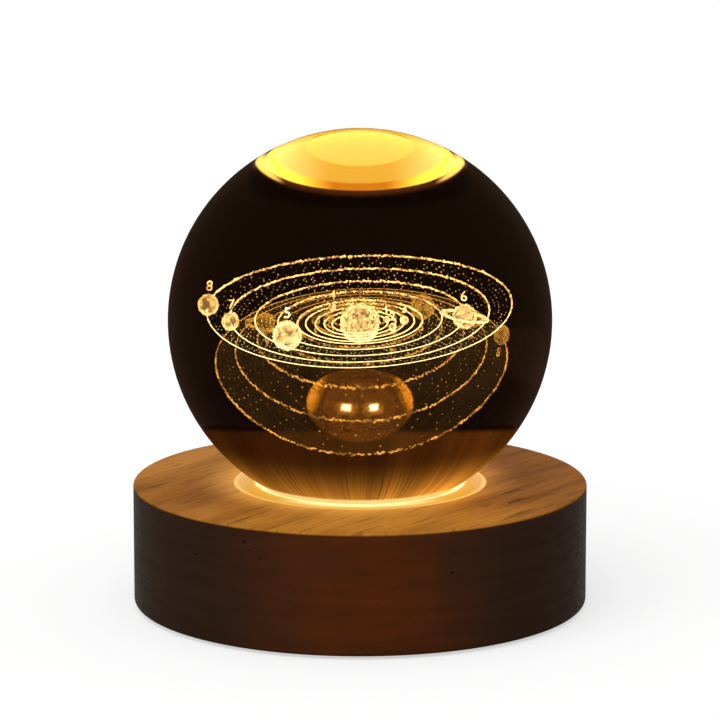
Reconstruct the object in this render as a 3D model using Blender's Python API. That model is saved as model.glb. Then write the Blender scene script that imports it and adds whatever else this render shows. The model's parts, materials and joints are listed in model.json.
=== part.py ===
"""Crystal ball lamp: a solid engraved glass ball that rests on a turned wooden base
with two warm LEDs under it.

Metres, +Z up. The origin is on the table, under the middle of the base. The front
faces -Y, and the power socket and the push button are at the back, at +Y.
"""

from math import asin, cos, pi, radians, sin, sqrt, tan

import bmesh
import bpy
from mathutils import Matrix, Vector

# Driving sizes, in metres
FIT_GAP = 0.0003  # between two pieces that touch
OVERRUN = 0.002  # how far a cutter passes the face that it cuts

BALL_RADIUS = 0.040
BALL_SINK = 0.0058  # the ball's lowest point, below the base's top

# The engraving is a cloud of fine cracks. Hollows stand in for its lines and planets.
SYSTEM_RADIUS = 0.02145  # of the outermost orbit
SYSTEM_DROP = 0.0005  # of the sun below the ball's centre
SYSTEM_TILT = radians(9.7)  # front edge down
SYSTEM_ROLL = radians(-1.8)
ORBIT_SHARES = (0.182, 0.233, 0.291, 0.354, 0.408, 0.536, 0.685, 0.848, 1.0)
SUN_RADIUS = 0.0029
ENGRAVED_LINE = 0.0003
HAIRLINE = 0.0004  # channel that joins the hollows to the outside, under the ball

# Planets: orbit, counted from the sun; degrees from +X; radius as a share of the sun's
PLANET_SHARES = (
    (0, 20, 0.15),
    (1, -22, 0.19),
    (2, 8, 0.21),
    (3, 118, 0.18),
    (5, 201, 0.76),
    (6, 6, 0.61),
    (7, 172, 0.45),
    (8, 156, 0.48),
)
RINGED_PLANET = 5
PLANET_RING_SHARE = 1.2  # of the sun's radius
PLANET_RING_LEAN = radians(12)

BASE_RADIUS = 0.0475
BASE_HEIGHT = 0.0254
BASE_TOP_ROUND = 0.0006
BASE_FOOT_ROUND = 0.0010

RING_FLANGE = 0.00555  # from the ball's edge in the base's top to the ring's rim
RING_THICKNESS = 0.0040
RING_SHELF = 0.0063  # wooden shelf under the ring
SEAT_CONTACT_SHARE = 0.92  # of the ball's radius in the plane of the base's top
RING_BORE_SHARE = 0.80  # of the same radius

LED_SHELF = 0.0045  # wooden shelf under the LED board
LED_SHELF_THICKNESS = 0.0026
LED_BOARD_THICKNESS = 0.0012
LED_BOARD_DEPTH = 0.0119  # from the base's top to the board's top
LED_BOARD_SLACK = 0.0001  # more than the fit, so that the board drops in
LED_SPACING = 0.0140
LED_SIDE = 0.0050
LED_HEIGHT = 0.0013
RESISTOR_LENGTH = 0.0032
RESISTOR_WIDTH = 0.0016
RESISTOR_HEIGHT = 0.0006
RESISTOR_SETBACK = 0.0062  # in front of the LEDs

COVER_RIM = 0.0040  # wood round the bottom cover
COVER_LEDGE = 0.0135  # wood over the cover's edge, round the pocket
COVER_THICKNESS = 0.0024
FOOT_RADIUS = 0.0040
FOOT_THICKNESS = 0.0014
FOOT_PROUD = 0.0006
FOOT_EDGE_ROUND = 0.0003
FOOT_INSET = 0.0075  # from the cover's edge to a foot's middle
COVER_SCREW_INSET = 0.0045
COVER_SCREW_LENGTH = 0.0085
COVER_SCREW_HEAD_DEPTH = 0.0002  # of the head below the cover's face

PANEL_THICKNESS = 0.0020
PANEL_SHOULDER = 0.0045  # from the base's rim in to the shoulder behind the panel
PANEL_LAP = 0.0011  # of the panel over the window behind it, above and below
PANEL_SIDE_LAP = 0.0022
PANEL_AXIS_HEIGHT = 0.0089  # above the base's underside
WINDOW_CLEARANCE = 0.0004  # above and below the switch
WINDOW_MARGIN = 0.0013  # beside the switch and beside the socket
WINDOW_SPACING = 0.0037  # between the two

BAY_DEPTH = 0.0174  # of the space for the power board, along Y
BAY_WALL = 0.0026  # wood between this space and the shoulder
POWER_BOARD_LAP = 0.0039  # of the board under the wood, on each side of the window
POWER_BOARD_LENGTH = 0.0117
POWER_BOARD_THICKNESS = 0.0012

SOCKET_HALF_WIDTH = 0.00447
SOCKET_HALF_HEIGHT = 0.00163
SOCKET_LENGTH = 0.0073
SOCKET_WALL = 0.0003
SOCKET_RECESS = 0.0003  # of the socket's mouth behind the panel's face
SOCKET_LEG = 0.0007
TONGUE_HALF_WIDTH = 0.00334
TONGUE_THICKNESS = 0.0007
TONGUE_SETBACK = 0.0008  # of the tongue's tip inside the mouth
TONGUE_ROOT = 0.0018

BUTTON_RADIUS = 0.0023
BUTTON_PROUD = 0.0013  # of the panel's face
BUTTON_EDGE_ROUND = 0.0004
BUTTON_TRAVEL = 0.0010
BUTTON_FLANGE = 0.0006  # of its foot round it
BUTTON_FLANGE_THICKNESS = 0.0008
BUTTON_STEM_RADIUS = 0.0008
SWITCH_LENGTH = 0.0059
SWITCH_WALL = 0.0008
SPRING_ROOM = 0.0034  # depth of the bore that holds the spring
SPRING_WIRE_RADIUS = 0.00016
SPRING_CURLS = 5

CHIP_LENGTH = 0.0049
CHIP_WIDTH = 0.0039
CHIP_HEIGHT = 0.0015
CAPACITOR_RADIUS = 0.0020
CAPACITOR_HEIGHT = 0.0050
CAPACITOR_GAP = 0.0008  # to the switch behind it

WIRE_RADIUS = 0.00055
WIRE_SPACING = 0.0032
WIRE_START = 0.0030  # behind the ball's axis
WIRE_SWEEP_SHARE = 0.8  # of the way back, for the bend under the LED board

SCREW_RADIUS = 0.0008
SCREW_HEAD_RADIUS = 0.0015
SCREW_HEAD_HEIGHT = 0.0010
COVER_SCREW_RADIUS = 0.0010
COVER_SCREW_HEAD_RADIUS = 0.0021
COVER_SCREW_HEAD_HEIGHT = 0.0013
SCREW_SLOT_WIDTH = 0.0004
SCREW_SLOT_DEPTH = 0.0004
LED_SCREW_REACH = 0.0021  # into the wood
POWER_SCREW_REACH = 0.0045

# Steps of the round shapes
BALL_STEPS = 56
ORBIT_STEPS = 48
LEAST_ORBIT_STEPS = 20
SUN_STEPS = 16
PLANET_STEPS = 8
BASE_STEPS = 72
RING_STEPS = 56
PIN_STEPS = 16
BUTTON_STEPS = 24
ARC_STEPS = 3
END_STEPS = 8
WIRE_STEPS = 10
CURL_STEPS = 10
SMOOTH_ANGLE = radians(35)
MERGE_DISTANCE = 0.000001

# Places that follow from the sizes
BASE_BOTTOM = FOOT_PROUD
BASE_TOP = BASE_BOTTOM + BASE_HEIGHT
BALL_CENTRE = BASE_TOP - BALL_SINK + BALL_RADIUS
MOUTH_RADIUS = sqrt(BALL_RADIUS**2 - (BALL_RADIUS - BALL_SINK) ** 2)

RING_RADIUS = MOUTH_RADIUS + RING_FLANGE
RING_BOTTOM = BASE_TOP - RING_THICKNESS
RING_SEAT = RING_BOTTOM - FIT_GAP
WELL_RADIUS = RING_RADIUS - RING_SHELF

LED_BOARD_TOP = BASE_TOP - LED_BOARD_DEPTH
LED_BOARD_BOTTOM = LED_BOARD_TOP - LED_BOARD_THICKNESS
LED_BOARD_RADIUS = WELL_RADIUS - FIT_GAP - LED_BOARD_SLACK
LED_SEAT = LED_BOARD_BOTTOM - FIT_GAP
THROAT_RADIUS = WELL_RADIUS - LED_SHELF
LED_SCREW_PLACE = (THROAT_RADIUS + LED_BOARD_RADIUS) / 2
POCKET_TOP = LED_SEAT - LED_SHELF_THICKNESS

COVER_RADIUS = BASE_RADIUS - COVER_RIM
POCKET_RADIUS = COVER_RADIUS - COVER_LEDGE
COVER_TOP = BASE_BOTTOM + COVER_THICKNESS
COVER_SEAT = COVER_TOP + FIT_GAP
WIRE_LEVEL = (COVER_TOP + POCKET_TOP) / 2

PANEL_AXIS = BASE_BOTTOM + PANEL_AXIS_HEIGHT
SHOULDER = BASE_RADIUS - PANEL_SHOULDER
PANEL_BACK = SHOULDER + FIT_GAP
PANEL_FACE = PANEL_BACK + PANEL_THICKNESS
BUTTON_FLANGE_RADIUS = BUTTON_RADIUS + BUTTON_FLANGE
SWITCH_SIDE = 2 * BUTTON_FLANGE_RADIUS
SWITCH_BORE_RADIUS = BUTTON_FLANGE_RADIUS - SWITCH_WALL
WINDOW_HALF_HEIGHT = BUTTON_FLANGE_RADIUS + WINDOW_CLEARANCE
WINDOW_HALF_WIDTH = SOCKET_HALF_WIDTH + SWITCH_SIDE / 2 + WINDOW_SPACING / 2 + WINDOW_MARGIN
SOCKET_OFFSET = WINDOW_HALF_WIDTH - WINDOW_MARGIN - SOCKET_HALF_WIDTH
BUTTON_OFFSET = WINDOW_HALF_WIDTH - WINDOW_MARGIN - SWITCH_SIDE / 2
PANEL_HALF_WIDTH = WINDOW_HALF_WIDTH + PANEL_SIDE_LAP
PANEL_HALF_HEIGHT = WINDOW_HALF_HEIGHT + PANEL_LAP
BAY_BACK = SHOULDER - BAY_WALL
BAY_FRONT = BAY_BACK - BAY_DEPTH
POWER_BOARD_HALF_WIDTH = WINDOW_HALF_WIDTH + POWER_BOARD_LAP
BAY_HALF_WIDTH = POWER_BOARD_HALF_WIDTH + FIT_GAP

SWITCH_BOTTOM = PANEL_AXIS - SWITCH_SIDE / 2
POWER_BOARD_TOP = SWITCH_BOTTOM - FIT_GAP
POWER_BOARD_BOTTOM = POWER_BOARD_TOP - POWER_BOARD_THICKNESS
POWER_BOARD_BACK = BAY_BACK - FIT_GAP
POWER_BOARD_FRONT = POWER_BOARD_BACK - POWER_BOARD_LENGTH
POWER_SEAT = POWER_BOARD_TOP + FIT_GAP
POWER_SCREW_X = WINDOW_HALF_WIDTH + POWER_BOARD_LAP / 2
POWER_SCREW_Y = (POWER_BOARD_FRONT + POWER_BOARD_BACK) / 2

BUTTON_SHOULDER = PANEL_BACK - FIT_GAP
BUTTON_BACK = BUTTON_SHOULDER - BUTTON_FLANGE_THICKNESS
SWITCH_FACE = BUTTON_BACK - BUTTON_TRAVEL - FIT_GAP
SPRING_FLOOR = SWITCH_FACE - SPRING_ROOM
PARTS_Y = SWITCH_FACE - SWITCH_LENGTH - CAPACITOR_GAP - CAPACITOR_RADIUS

BOARD_SCREW = (SCREW_RADIUS, SCREW_HEAD_RADIUS, SCREW_HEAD_HEIGHT)
COVER_SCREW = (COVER_SCREW_RADIUS, COVER_SCREW_HEAD_RADIUS, COVER_SCREW_HEAD_HEIGHT)

FINISHES = {
    "crystal": {"colour": (0.86, 0.82, 0.74), "roughness": 0.02, "clear": 1.0},
    "oiled_wood": {"colour": (0.30, 0.125, 0.040), "roughness": 0.55},
    "frosted_plastic": {"colour": (0.90, 0.74, 0.42), "roughness": 0.35, "clear": 0.5},
    "white_board": {"colour": (0.80, 0.78, 0.72), "roughness": 0.45},
    "led_phosphor": {"colour": (0.95, 0.70, 0.22), "roughness": 0.30},
    "black_ceramic": {"colour": (0.020, 0.020, 0.022), "roughness": 0.40},
    "steel": {"colour": (0.60, 0.60, 0.62), "roughness": 0.28, "metallic": 1.0},
    "red_wire": {"colour": (0.50, 0.018, 0.014), "roughness": 0.42},
    "black_wire": {"colour": (0.016, 0.016, 0.017), "roughness": 0.42},
    "green_board": {"colour": (0.020, 0.130, 0.055), "roughness": 0.40},
    "capacitor_sleeve": {"colour": (0.030, 0.035, 0.060), "roughness": 0.35},
    "black_plastic": {"colour": (0.022, 0.020, 0.019), "roughness": 0.48},
    "dark_plastic": {"colour": (0.045, 0.038, 0.034), "roughness": 0.55},
    "rubber": {"colour": (0.030, 0.029, 0.028), "roughness": 0.80},
}


def finish(name):
    """The Principled material of this name, made once."""
    if name in bpy.data.materials:
        return bpy.data.materials[name]
    values = FINISHES[name]
    material = bpy.data.materials.new(name)
    material.use_nodes = True
    shader = material.node_tree.nodes["Principled BSDF"]
    shader.inputs["Base Color"].default_value = (*values["colour"], 1.0)
    shader.inputs["Roughness"].default_value = values["roughness"]
    shader.inputs["Metallic"].default_value = values.get("metallic", 0.0)
    shader.inputs["Transmission Weight"].default_value = values.get("clear", 0.0)
    return material


def add_object(name, data, material=None):
    obj = bpy.data.objects.new(name, data)
    bpy.context.scene.collection.objects.link(obj)
    if material:
        data.materials.append(finish(material))
    return obj


def add_piece(name, shape, material, place=(0, 0, 0)):
    """An object of its own from a bmesh, shaded smooth where it is round."""
    mesh = bpy.data.meshes.new(name)
    shape.to_mesh(mesh)
    shape.free()
    mesh.shade_smooth()
    mesh.set_sharp_from_angle(angle=SMOOTH_ANGLE)
    obj = add_object(name, mesh, material)
    obj.location = place
    return obj


def cut(target, shape, label, operation="DIFFERENCE"):
    """A Boolean with a hidden helper, which stands where its target stands."""
    mesh = bpy.data.meshes.new(f"{target.name}_{label}")
    shape.to_mesh(mesh)
    shape.free()
    helper = add_object(f"{target.name}_{label}", mesh)
    helper.location = target.location
    helper.parent = target.parent
    helper.hide_render = True
    helper.display_type = "WIRE"
    modifier = target.modifiers.new(label, "BOOLEAN")
    modifier.operation = operation
    modifier.object = helper


def arc(centre, radius, start, end, steps=ARC_STEPS):
    """Points (r, z) on a round, from one angle in degrees to another."""
    angles = [radians(start + (end - start) * i / steps) for i in range(steps + 1)]
    return [(centre[0] + radius * cos(a), centre[1] + radius * sin(a)) for a in angles]


def turned(profile, steps):
    """The profile's points (r, z) turned about Z into one closed body."""
    shape = bmesh.new()
    points = [shape.verts.new((r, 0, z)) for r, z in profile]
    on_axis = profile[0][0] == 0 and profile[-1][0] == 0
    pairs = list(zip(points, points[1:]))
    if not on_axis:
        pairs.append((points[-1], points[0]))
    edges = [shape.edges.new(pair) for pair in pairs]
    bmesh.ops.spin(
        shape,
        geom=points + edges,
        cent=(0, 0, 0),
        axis=(0, 0, 1),
        angle=2 * pi,
        steps=steps,
        use_merge=True,
    )
    bmesh.ops.remove_doubles(shape, verts=shape.verts, dist=MERGE_DISTANCE)
    bmesh.ops.recalc_face_normals(shape, faces=shape.faces)
    return shape


def block(low, high):
    """A box between two corners."""
    shape = bmesh.new()
    bmesh.ops.create_cube(shape, size=1)
    low, high = Vector(low), Vector(high)
    bmesh.ops.scale(shape, vec=high - low, verts=shape.verts)
    bmesh.ops.translate(shape, vec=(low + high) / 2, verts=shape.verts)
    return shape


def rod(radius, low, high, place=(0, 0), steps=PIN_STEPS):
    """An upright cylinder between two heights."""
    shape = bmesh.new()
    bmesh.ops.create_cone(
        shape,
        cap_ends=True,
        segments=steps,
        radius1=radius,
        radius2=radius,
        depth=high - low,
    )
    middle = Vector((*place, (low + high) / 2))
    bmesh.ops.translate(shape, vec=middle, verts=shape.verts)
    return shape


def laid_back(shape):
    """Turns an upright shape about X, so that its +Z points along +Y."""
    bmesh.ops.rotate(
        shape,
        cent=(0, 0, 0),
        matrix=Matrix.Rotation(-pi / 2, 3, "X"),
        verts=shape.verts,
    )
    return shape


def moved(shape, offset):
    bmesh.ops.translate(shape, vec=Vector(offset), verts=shape.verts)
    return shape


def joined(shapes):
    """Several bmeshes in one, as separate bodies."""
    whole = bmesh.new()
    for shape in shapes:
        mesh = bpy.data.meshes.new("joined")
        shape.to_mesh(mesh)
        shape.free()
        whole.from_mesh(mesh)
        bpy.data.meshes.remove(mesh)
    return whole


def slab(half_width, half_height, front, back):
    """A plate with round ends, in the XZ plane, from y = front to y = back."""
    shape = bmesh.new()
    straight = half_width - half_height
    outline = arc((straight, 0), half_height, -90, 90, END_STEPS)
    outline += arc((-straight, 0), half_height, 90, 270, END_STEPS)
    face = shape.faces.new([shape.verts.new((x, front, z)) for x, z in outline])
    grown = bmesh.ops.extrude_face_region(shape, geom=[face])
    tops = [item for item in grown["geom"] if isinstance(item, bmesh.types.BMVert)]
    bmesh.ops.translate(shape, vec=(0, back - front, 0), verts=tops)
    bmesh.ops.recalc_face_normals(shape, faces=shape.faces)
    return shape


def around(count, radius, first=0):
    """Places (x, y) spread evenly on a circle, from the first angle in degrees."""
    angles = [radians(first + 360 * i / count) for i in range(count)]
    return [(radius * cos(a), radius * sin(a)) for a in angles]


def add_screws(names, places, head_top, tip, sizes):
    """Slotted screws; sizes holds the shank's radius, and the head's radius and height."""
    radius, head_radius, head_height = sizes
    up = 1 if head_top > tip else -1
    under = head_top - up * head_height
    crown = head_top - up * SCREW_SLOT_DEPTH
    profile = [(0, tip), (radius, tip + up * radius), (radius, under)]
    profile += [(head_radius, under), (head_radius, crown)]
    profile += [(head_radius - SCREW_SLOT_DEPTH, head_top), (0, head_top)]
    reach = head_radius + OVERRUN
    heights = sorted((crown, head_top + up * OVERRUN))
    low = (-reach, -SCREW_SLOT_WIDTH / 2, heights[0])
    high = (reach, SCREW_SLOT_WIDTH / 2, heights[1])
    for name, place in zip(names, places):
        screw = add_piece(name, turned(profile, PIN_STEPS), "steel", (*place, 0))
        cut(screw, block(low, high), "slot")


def line_ring(radius):
    """A thin ring with a four-sided section, round Z."""
    half = ENGRAVED_LINE / 2
    profile = [(radius + half, 0), (radius, half), (radius - half, 0), (radius, -half)]
    steps = max(LEAST_ORBIT_STEPS, round(ORBIT_STEPS * radius / SYSTEM_RADIUS))
    return turned(profile, steps)


def planet_place(orbit, angle):
    """A planet's middle, in the plane of the orbits."""
    radius = ORBIT_SHARES[orbit] * SYSTEM_RADIUS
    return Vector((radius * cos(radians(angle)), radius * sin(radians(angle)), 0))


def sphere(radius, steps, middle):
    shape = bmesh.new()
    place = Matrix.Translation(middle)
    bmesh.ops.create_uvsphere(
        shape, u_segments=steps, v_segments=steps // 2, radius=radius, matrix=place
    )
    return shape


def tilted(shape):
    """Moves a shape from the plane of the orbits to its place in the ball."""
    place = Matrix.Translation((0, 0, -SYSTEM_DROP))
    place @= Matrix.Rotation(SYSTEM_ROLL, 4, "Y") @ Matrix.Rotation(SYSTEM_TILT, 4, "X")
    bmesh.ops.transform(shape, matrix=place, verts=shape.verts)
    return shape


def engraved_orbits():
    return tilted(joined([line_ring(share * SYSTEM_RADIUS) for share in ORBIT_SHARES]))


def engraved_planet_ring():
    """The ring round one planet, which meets its orbit on both sides."""
    orbit, angle, _ = PLANET_SHARES[RINGED_PLANET]
    ring = line_ring(PLANET_RING_SHARE * SUN_RADIUS)
    lean = Matrix.Rotation(PLANET_RING_LEAN, 4, "Y")
    bmesh.ops.transform(ring, matrix=lean, verts=ring.verts)
    return tilted(moved(ring, planet_place(orbit, angle)))


def engraved_planets():
    planets = [sphere(SUN_RADIUS, SUN_STEPS, (0, 0, 0))]
    for orbit, angle, share in PLANET_SHARES:
        middle = planet_place(orbit, angle)
        planets.append(sphere(share * SUN_RADIUS, PLANET_STEPS, middle))
    return tilted(joined(planets))


def hairline_channel():
    """From the outermost orbit to the sun, and from the sun down through the ball."""
    half = HAIRLINE / 2
    start = SUN_RADIUS / 2
    across = tilted(block((-half, start, -half), (half, SYSTEM_RADIUS, half)))
    down = rod(half, -BALL_RADIUS - OVERRUN, -SYSTEM_DROP - start)
    return joined([across, down])


def make_ball(joint_origin):
    shape = bmesh.new()
    bmesh.ops.create_uvsphere(
        shape, u_segments=BALL_STEPS, v_segments=BALL_STEPS // 2, radius=BALL_RADIUS
    )
    ball = add_piece("crystal_ball", shape, "crystal")
    ball.parent = joint_origin
    cut(ball, engraved_orbits(), "orbits")
    cut(ball, engraved_planets(), "planets")
    cut(ball, engraved_planet_ring(), "planet_ring")
    cut(ball, hairline_channel(), "channel")


def make_base():
    """The turned wood: a shelf for the ring, the light well, and the pocket below."""
    ring_hole = RING_RADIUS + FIT_GAP
    cover_hole = COVER_RADIUS + FIT_GAP
    foot = (BASE_RADIUS - BASE_FOOT_ROUND, BASE_BOTTOM + BASE_FOOT_ROUND)
    rim = (BASE_RADIUS - BASE_TOP_ROUND, BASE_TOP - BASE_TOP_ROUND)
    profile = arc(foot, BASE_FOOT_ROUND, -90, 0) + arc(rim, BASE_TOP_ROUND, 0, 90)
    profile += [(ring_hole, BASE_TOP), (ring_hole, RING_SEAT)]
    profile += [(WELL_RADIUS, RING_SEAT), (WELL_RADIUS, LED_SEAT)]
    profile += [(THROAT_RADIUS, LED_SEAT), (THROAT_RADIUS, POCKET_TOP)]
    profile += [(POCKET_RADIUS, POCKET_TOP), (POCKET_RADIUS, COVER_SEAT)]
    profile += [(cover_hole, COVER_SEAT), (cover_hole, BASE_BOTTOM)]
    base = add_piece("wood_base", turned(profile, BASE_STEPS), "oiled_wood")

    low = (-BAY_HALF_WIDTH, BAY_FRONT, BASE_BOTTOM - OVERRUN)
    cut(base, block(low, (BAY_HALF_WIDTH, BAY_BACK, POWER_SEAT)), "board_bay")
    window_bottom = PANEL_AXIS - WINDOW_HALF_HEIGHT
    window_top = PANEL_AXIS + WINDOW_HALF_HEIGHT
    low = (-WINDOW_HALF_WIDTH, POWER_BOARD_FRONT, window_bottom)
    high = (WINDOW_HALF_WIDTH, SHOULDER + OVERRUN, window_top)
    cut(base, block(low, high), "window")
    recess = slab(
        PANEL_HALF_WIDTH + FIT_GAP,
        PANEL_HALF_HEIGHT + FIT_GAP,
        SHOULDER,
        BASE_RADIUS + OVERRUN,
    )
    cut(base, moved(recess, (0, 0, PANEL_AXIS)), "panel_recess")

    pilot = SCREW_RADIUS + FIT_GAP
    low, high = POCKET_TOP - OVERRUN, LED_SEAT + OVERRUN
    holes = [rod(pilot, low, high, place) for place in led_screw_places()]
    low, high = POWER_SEAT - OVERRUN, POWER_SEAT + POWER_SCREW_REACH + FIT_GAP
    holes += [rod(pilot, low, high, place) for place in power_screw_places()]
    pilot = COVER_SCREW_RADIUS + FIT_GAP
    low, high = COVER_SEAT - OVERRUN, cover_screw_head() + COVER_SCREW_LENGTH + FIT_GAP
    holes += [rod(pilot, low, high, place) for place in cover_screw_places()]
    cut(base, joined(holes), "pilot_holes")


def make_seat_ring():
    """The frosted ring, level with the wood, whose cone carries the ball."""
    contact = MOUTH_RADIUS * SEAT_CONTACT_SHARE
    slope = asin(contact / BALL_RADIUS)
    seat_radius = contact + FIT_GAP * sin(slope)
    seat_height = BALL_CENTRE - BALL_RADIUS * cos(slope) - FIT_GAP * cos(slope)
    bore = MOUTH_RADIUS * RING_BORE_SHARE
    cone_foot = seat_height - (seat_radius - bore) * tan(slope)
    cone_top = seat_radius + (BASE_TOP - seat_height) / tan(slope)
    profile = [(bore, RING_BOTTOM), (RING_RADIUS, RING_BOTTOM), (RING_RADIUS, BASE_TOP)]
    profile += [(cone_top, BASE_TOP), (bore, cone_foot)]
    add_piece("seat_ring", turned(profile, RING_STEPS), "frosted_plastic")


def led_screw_places():
    return around(2, LED_SCREW_PLACE, 90)


def power_screw_places():
    return [(-POWER_SCREW_X, POWER_SCREW_Y), (POWER_SCREW_X, POWER_SCREW_Y)]


def cover_screw_places():
    return around(3, COVER_RADIUS - COVER_SCREW_INSET, 30)


def cover_screw_head():
    return BASE_BOTTOM + COVER_SCREW_HEAD_DEPTH


def make_led_board():
    disc = rod(LED_BOARD_RADIUS, LED_BOARD_BOTTOM, LED_BOARD_TOP, steps=RING_STEPS)
    board = add_piece("led_board", disc, "white_board")
    pilot = SCREW_RADIUS + FIT_GAP
    low, high = LED_BOARD_BOTTOM - OVERRUN, LED_BOARD_TOP + OVERRUN
    holes = [rod(pilot, low, high, place) for place in led_screw_places()]
    cut(board, joined(holes), "screw_holes")

    floor = LED_BOARD_TOP + FIT_GAP
    for name, side in (("led_left", -1), ("led_right", 1)):
        x = side * LED_SPACING / 2
        low = (x - LED_SIDE / 2, -LED_SIDE / 2, floor)
        high = (x + LED_SIDE / 2, LED_SIDE / 2, floor + LED_HEIGHT)
        add_piece(name, block(low, high), "led_phosphor")

    for name, side in (("led_resistor_left", -1), ("led_resistor_right", 1)):
        x, y = side * LED_SPACING / 2, -RESISTOR_SETBACK
        low = (x - RESISTOR_LENGTH / 2, y - RESISTOR_WIDTH / 2, floor)
        high = (x + RESISTOR_LENGTH / 2, y + RESISTOR_WIDTH / 2, floor + RESISTOR_HEIGHT)
        add_piece(name, block(low, high), "black_ceramic")

    names = ("led_screw_back", "led_screw_front")
    head_top, tip = floor + SCREW_HEAD_HEIGHT, LED_SEAT - LED_SCREW_REACH
    add_screws(names, led_screw_places(), head_top, tip, BOARD_SCREW)


def make_power_board():
    """The board in the back of the base, with the parts that stand on it."""
    low = (-POWER_BOARD_HALF_WIDTH, POWER_BOARD_FRONT, POWER_BOARD_BOTTOM)
    high = (POWER_BOARD_HALF_WIDTH, POWER_BOARD_BACK, POWER_BOARD_TOP)
    board = add_piece("power_board", block(low, high), "green_board")
    low, high = POWER_BOARD_BOTTOM - OVERRUN, POWER_BOARD_TOP + OVERRUN
    pilot = SCREW_RADIUS + FIT_GAP
    holes = [rod(pilot, low, high, place) for place in power_screw_places()]
    cut(board, joined(holes), "screw_holes")
    names = ("power_screw_left", "power_screw_right")
    head_top = POWER_BOARD_BOTTOM - FIT_GAP - SCREW_HEAD_HEIGHT
    tip = POWER_SEAT + POWER_SCREW_REACH
    add_screws(names, power_screw_places(), head_top, tip, BOARD_SCREW)

    floor, x, y = POWER_BOARD_TOP + FIT_GAP, SOCKET_OFFSET, PARTS_Y
    low = (x - CHIP_LENGTH / 2, y - CHIP_WIDTH / 2, floor)
    high = (x + CHIP_LENGTH / 2, y + CHIP_WIDTH / 2, floor + CHIP_HEIGHT)
    add_piece("driver_chip", block(low, high), "black_ceramic")
    can = rod(CAPACITOR_RADIUS, floor, floor + CAPACITOR_HEIGHT, (-BUTTON_OFFSET, y))
    add_piece("filter_capacitor", can, "capacitor_sleeve")


def make_socket():
    """The power socket: a steel shell with round ends, and the tongue inside it."""
    mouth = PANEL_FACE - SOCKET_RECESS
    back = mouth - SOCKET_LENGTH
    place = (SOCKET_OFFSET, 0, PANEL_AXIS)
    shape = slab(SOCKET_HALF_WIDTH, SOCKET_HALF_HEIGHT, back, mouth)
    shell = add_piece("socket_shell", shape, "steel", place)
    bore_half_width = SOCKET_HALF_WIDTH - SOCKET_WALL
    bore_half_height = SOCKET_HALF_HEIGHT - SOCKET_WALL
    ends = (back - OVERRUN, mouth + OVERRUN)
    cut(shell, slab(bore_half_width, bore_half_height, *ends), "bore")
    straight = SOCKET_HALF_WIDTH - SOCKET_HALF_HEIGHT
    leg_foot = POWER_BOARD_TOP + FIT_GAP - PANEL_AXIS
    leg_top = SOCKET_WALL / 2 - SOCKET_HALF_HEIGHT
    for label, side in (("left_leg", -1), ("right_leg", 1)):
        x = side * (straight - SOCKET_LEG)
        low = (x - SOCKET_LEG / 2, back + SOCKET_LEG, leg_foot)
        high = (x + SOCKET_LEG / 2, POWER_BOARD_BACK, leg_top)
        cut(shell, block(low, high), label, "UNION")

    half_width = bore_half_width - FIT_GAP
    half_height = bore_half_height - FIT_GAP
    root = slab(half_width, half_height, back, back + TONGUE_ROOT)
    tongue = add_piece("socket_tongue", root, "black_plastic", place)
    low = (-TONGUE_HALF_WIDTH, back + TONGUE_ROOT / 2, -TONGUE_THICKNESS / 2)
    high = (TONGUE_HALF_WIDTH, mouth - TONGUE_SETBACK, TONGUE_THICKNESS / 2)
    cut(tongue, block(low, high), "blade", "UNION")


def make_switch(joint_origin):
    """The push button, the switch behind it, and the spring that returns the button."""
    place = (-BUTTON_OFFSET, 0, PANEL_AXIS)
    half = SWITCH_SIDE / 2
    low, high = (-half, SWITCH_FACE - SWITCH_LENGTH, -half), (half, SWITCH_FACE, half)
    switch = add_piece("switch_body", block(low, high), "black_plastic", place)
    bore = laid_back(rod(SWITCH_BORE_RADIUS, SPRING_FLOOR, SWITCH_FACE + OVERRUN))
    cut(switch, bore, "spring_bore")

    face = PANEL_FACE + BUTTON_PROUD
    tip = SPRING_FLOOR + FIT_GAP + BUTTON_TRAVEL
    rim = (BUTTON_RADIUS - BUTTON_EDGE_ROUND, face - BUTTON_EDGE_ROUND)
    profile = [(0, tip), (BUTTON_STEM_RADIUS, tip), (BUTTON_STEM_RADIUS, BUTTON_BACK)]
    profile += [(BUTTON_FLANGE_RADIUS, BUTTON_BACK), (BUTTON_FLANGE_RADIUS, BUTTON_SHOULDER)]
    profile += [(BUTTON_RADIUS, BUTTON_SHOULDER), *arc(rim, BUTTON_EDGE_ROUND, 0, 90)]
    profile += [(0, face)]
    from_joint = [(r, along - BUTTON_BACK) for r, along in profile]
    cap = laid_back(turned(from_joint, BUTTON_STEPS))
    add_piece("button_cap", cap, "dark_plastic").parent = joint_origin

    wire = SPRING_WIRE_RADIUS
    coil = (SWITCH_BORE_RADIUS - FIT_GAP / 2 + BUTTON_STEM_RADIUS) / 2
    low, high = SPRING_FLOOR + FIT_GAP + wire, BUTTON_BACK - FIT_GAP - wire
    count = SPRING_CURLS * CURL_STEPS
    points = []
    for i in range(count + 1):
        angle = 2 * pi * i / CURL_STEPS
        along = low + (high - low) * i / count
        points.append((coil * cos(angle), along, coil * sin(angle)))
    spring = add_tube("button_spring", points, wire, "steel")
    spring.location = place


def add_tube(name, points, radius, material, resolution=1):
    """A round tube along the points, with closed ends."""
    curve = bpy.data.curves.new(name, "CURVE")
    curve.dimensions = "3D"
    curve.bevel_depth = radius
    curve.bevel_resolution = resolution
    curve.use_fill_caps = True
    line = curve.splines.new("POLY")
    line.points.add(len(points) - 1)
    for knot, point in zip(line.points, points):
        knot.co = (*point, 1)
    return add_object(name, curve, material)


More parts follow.
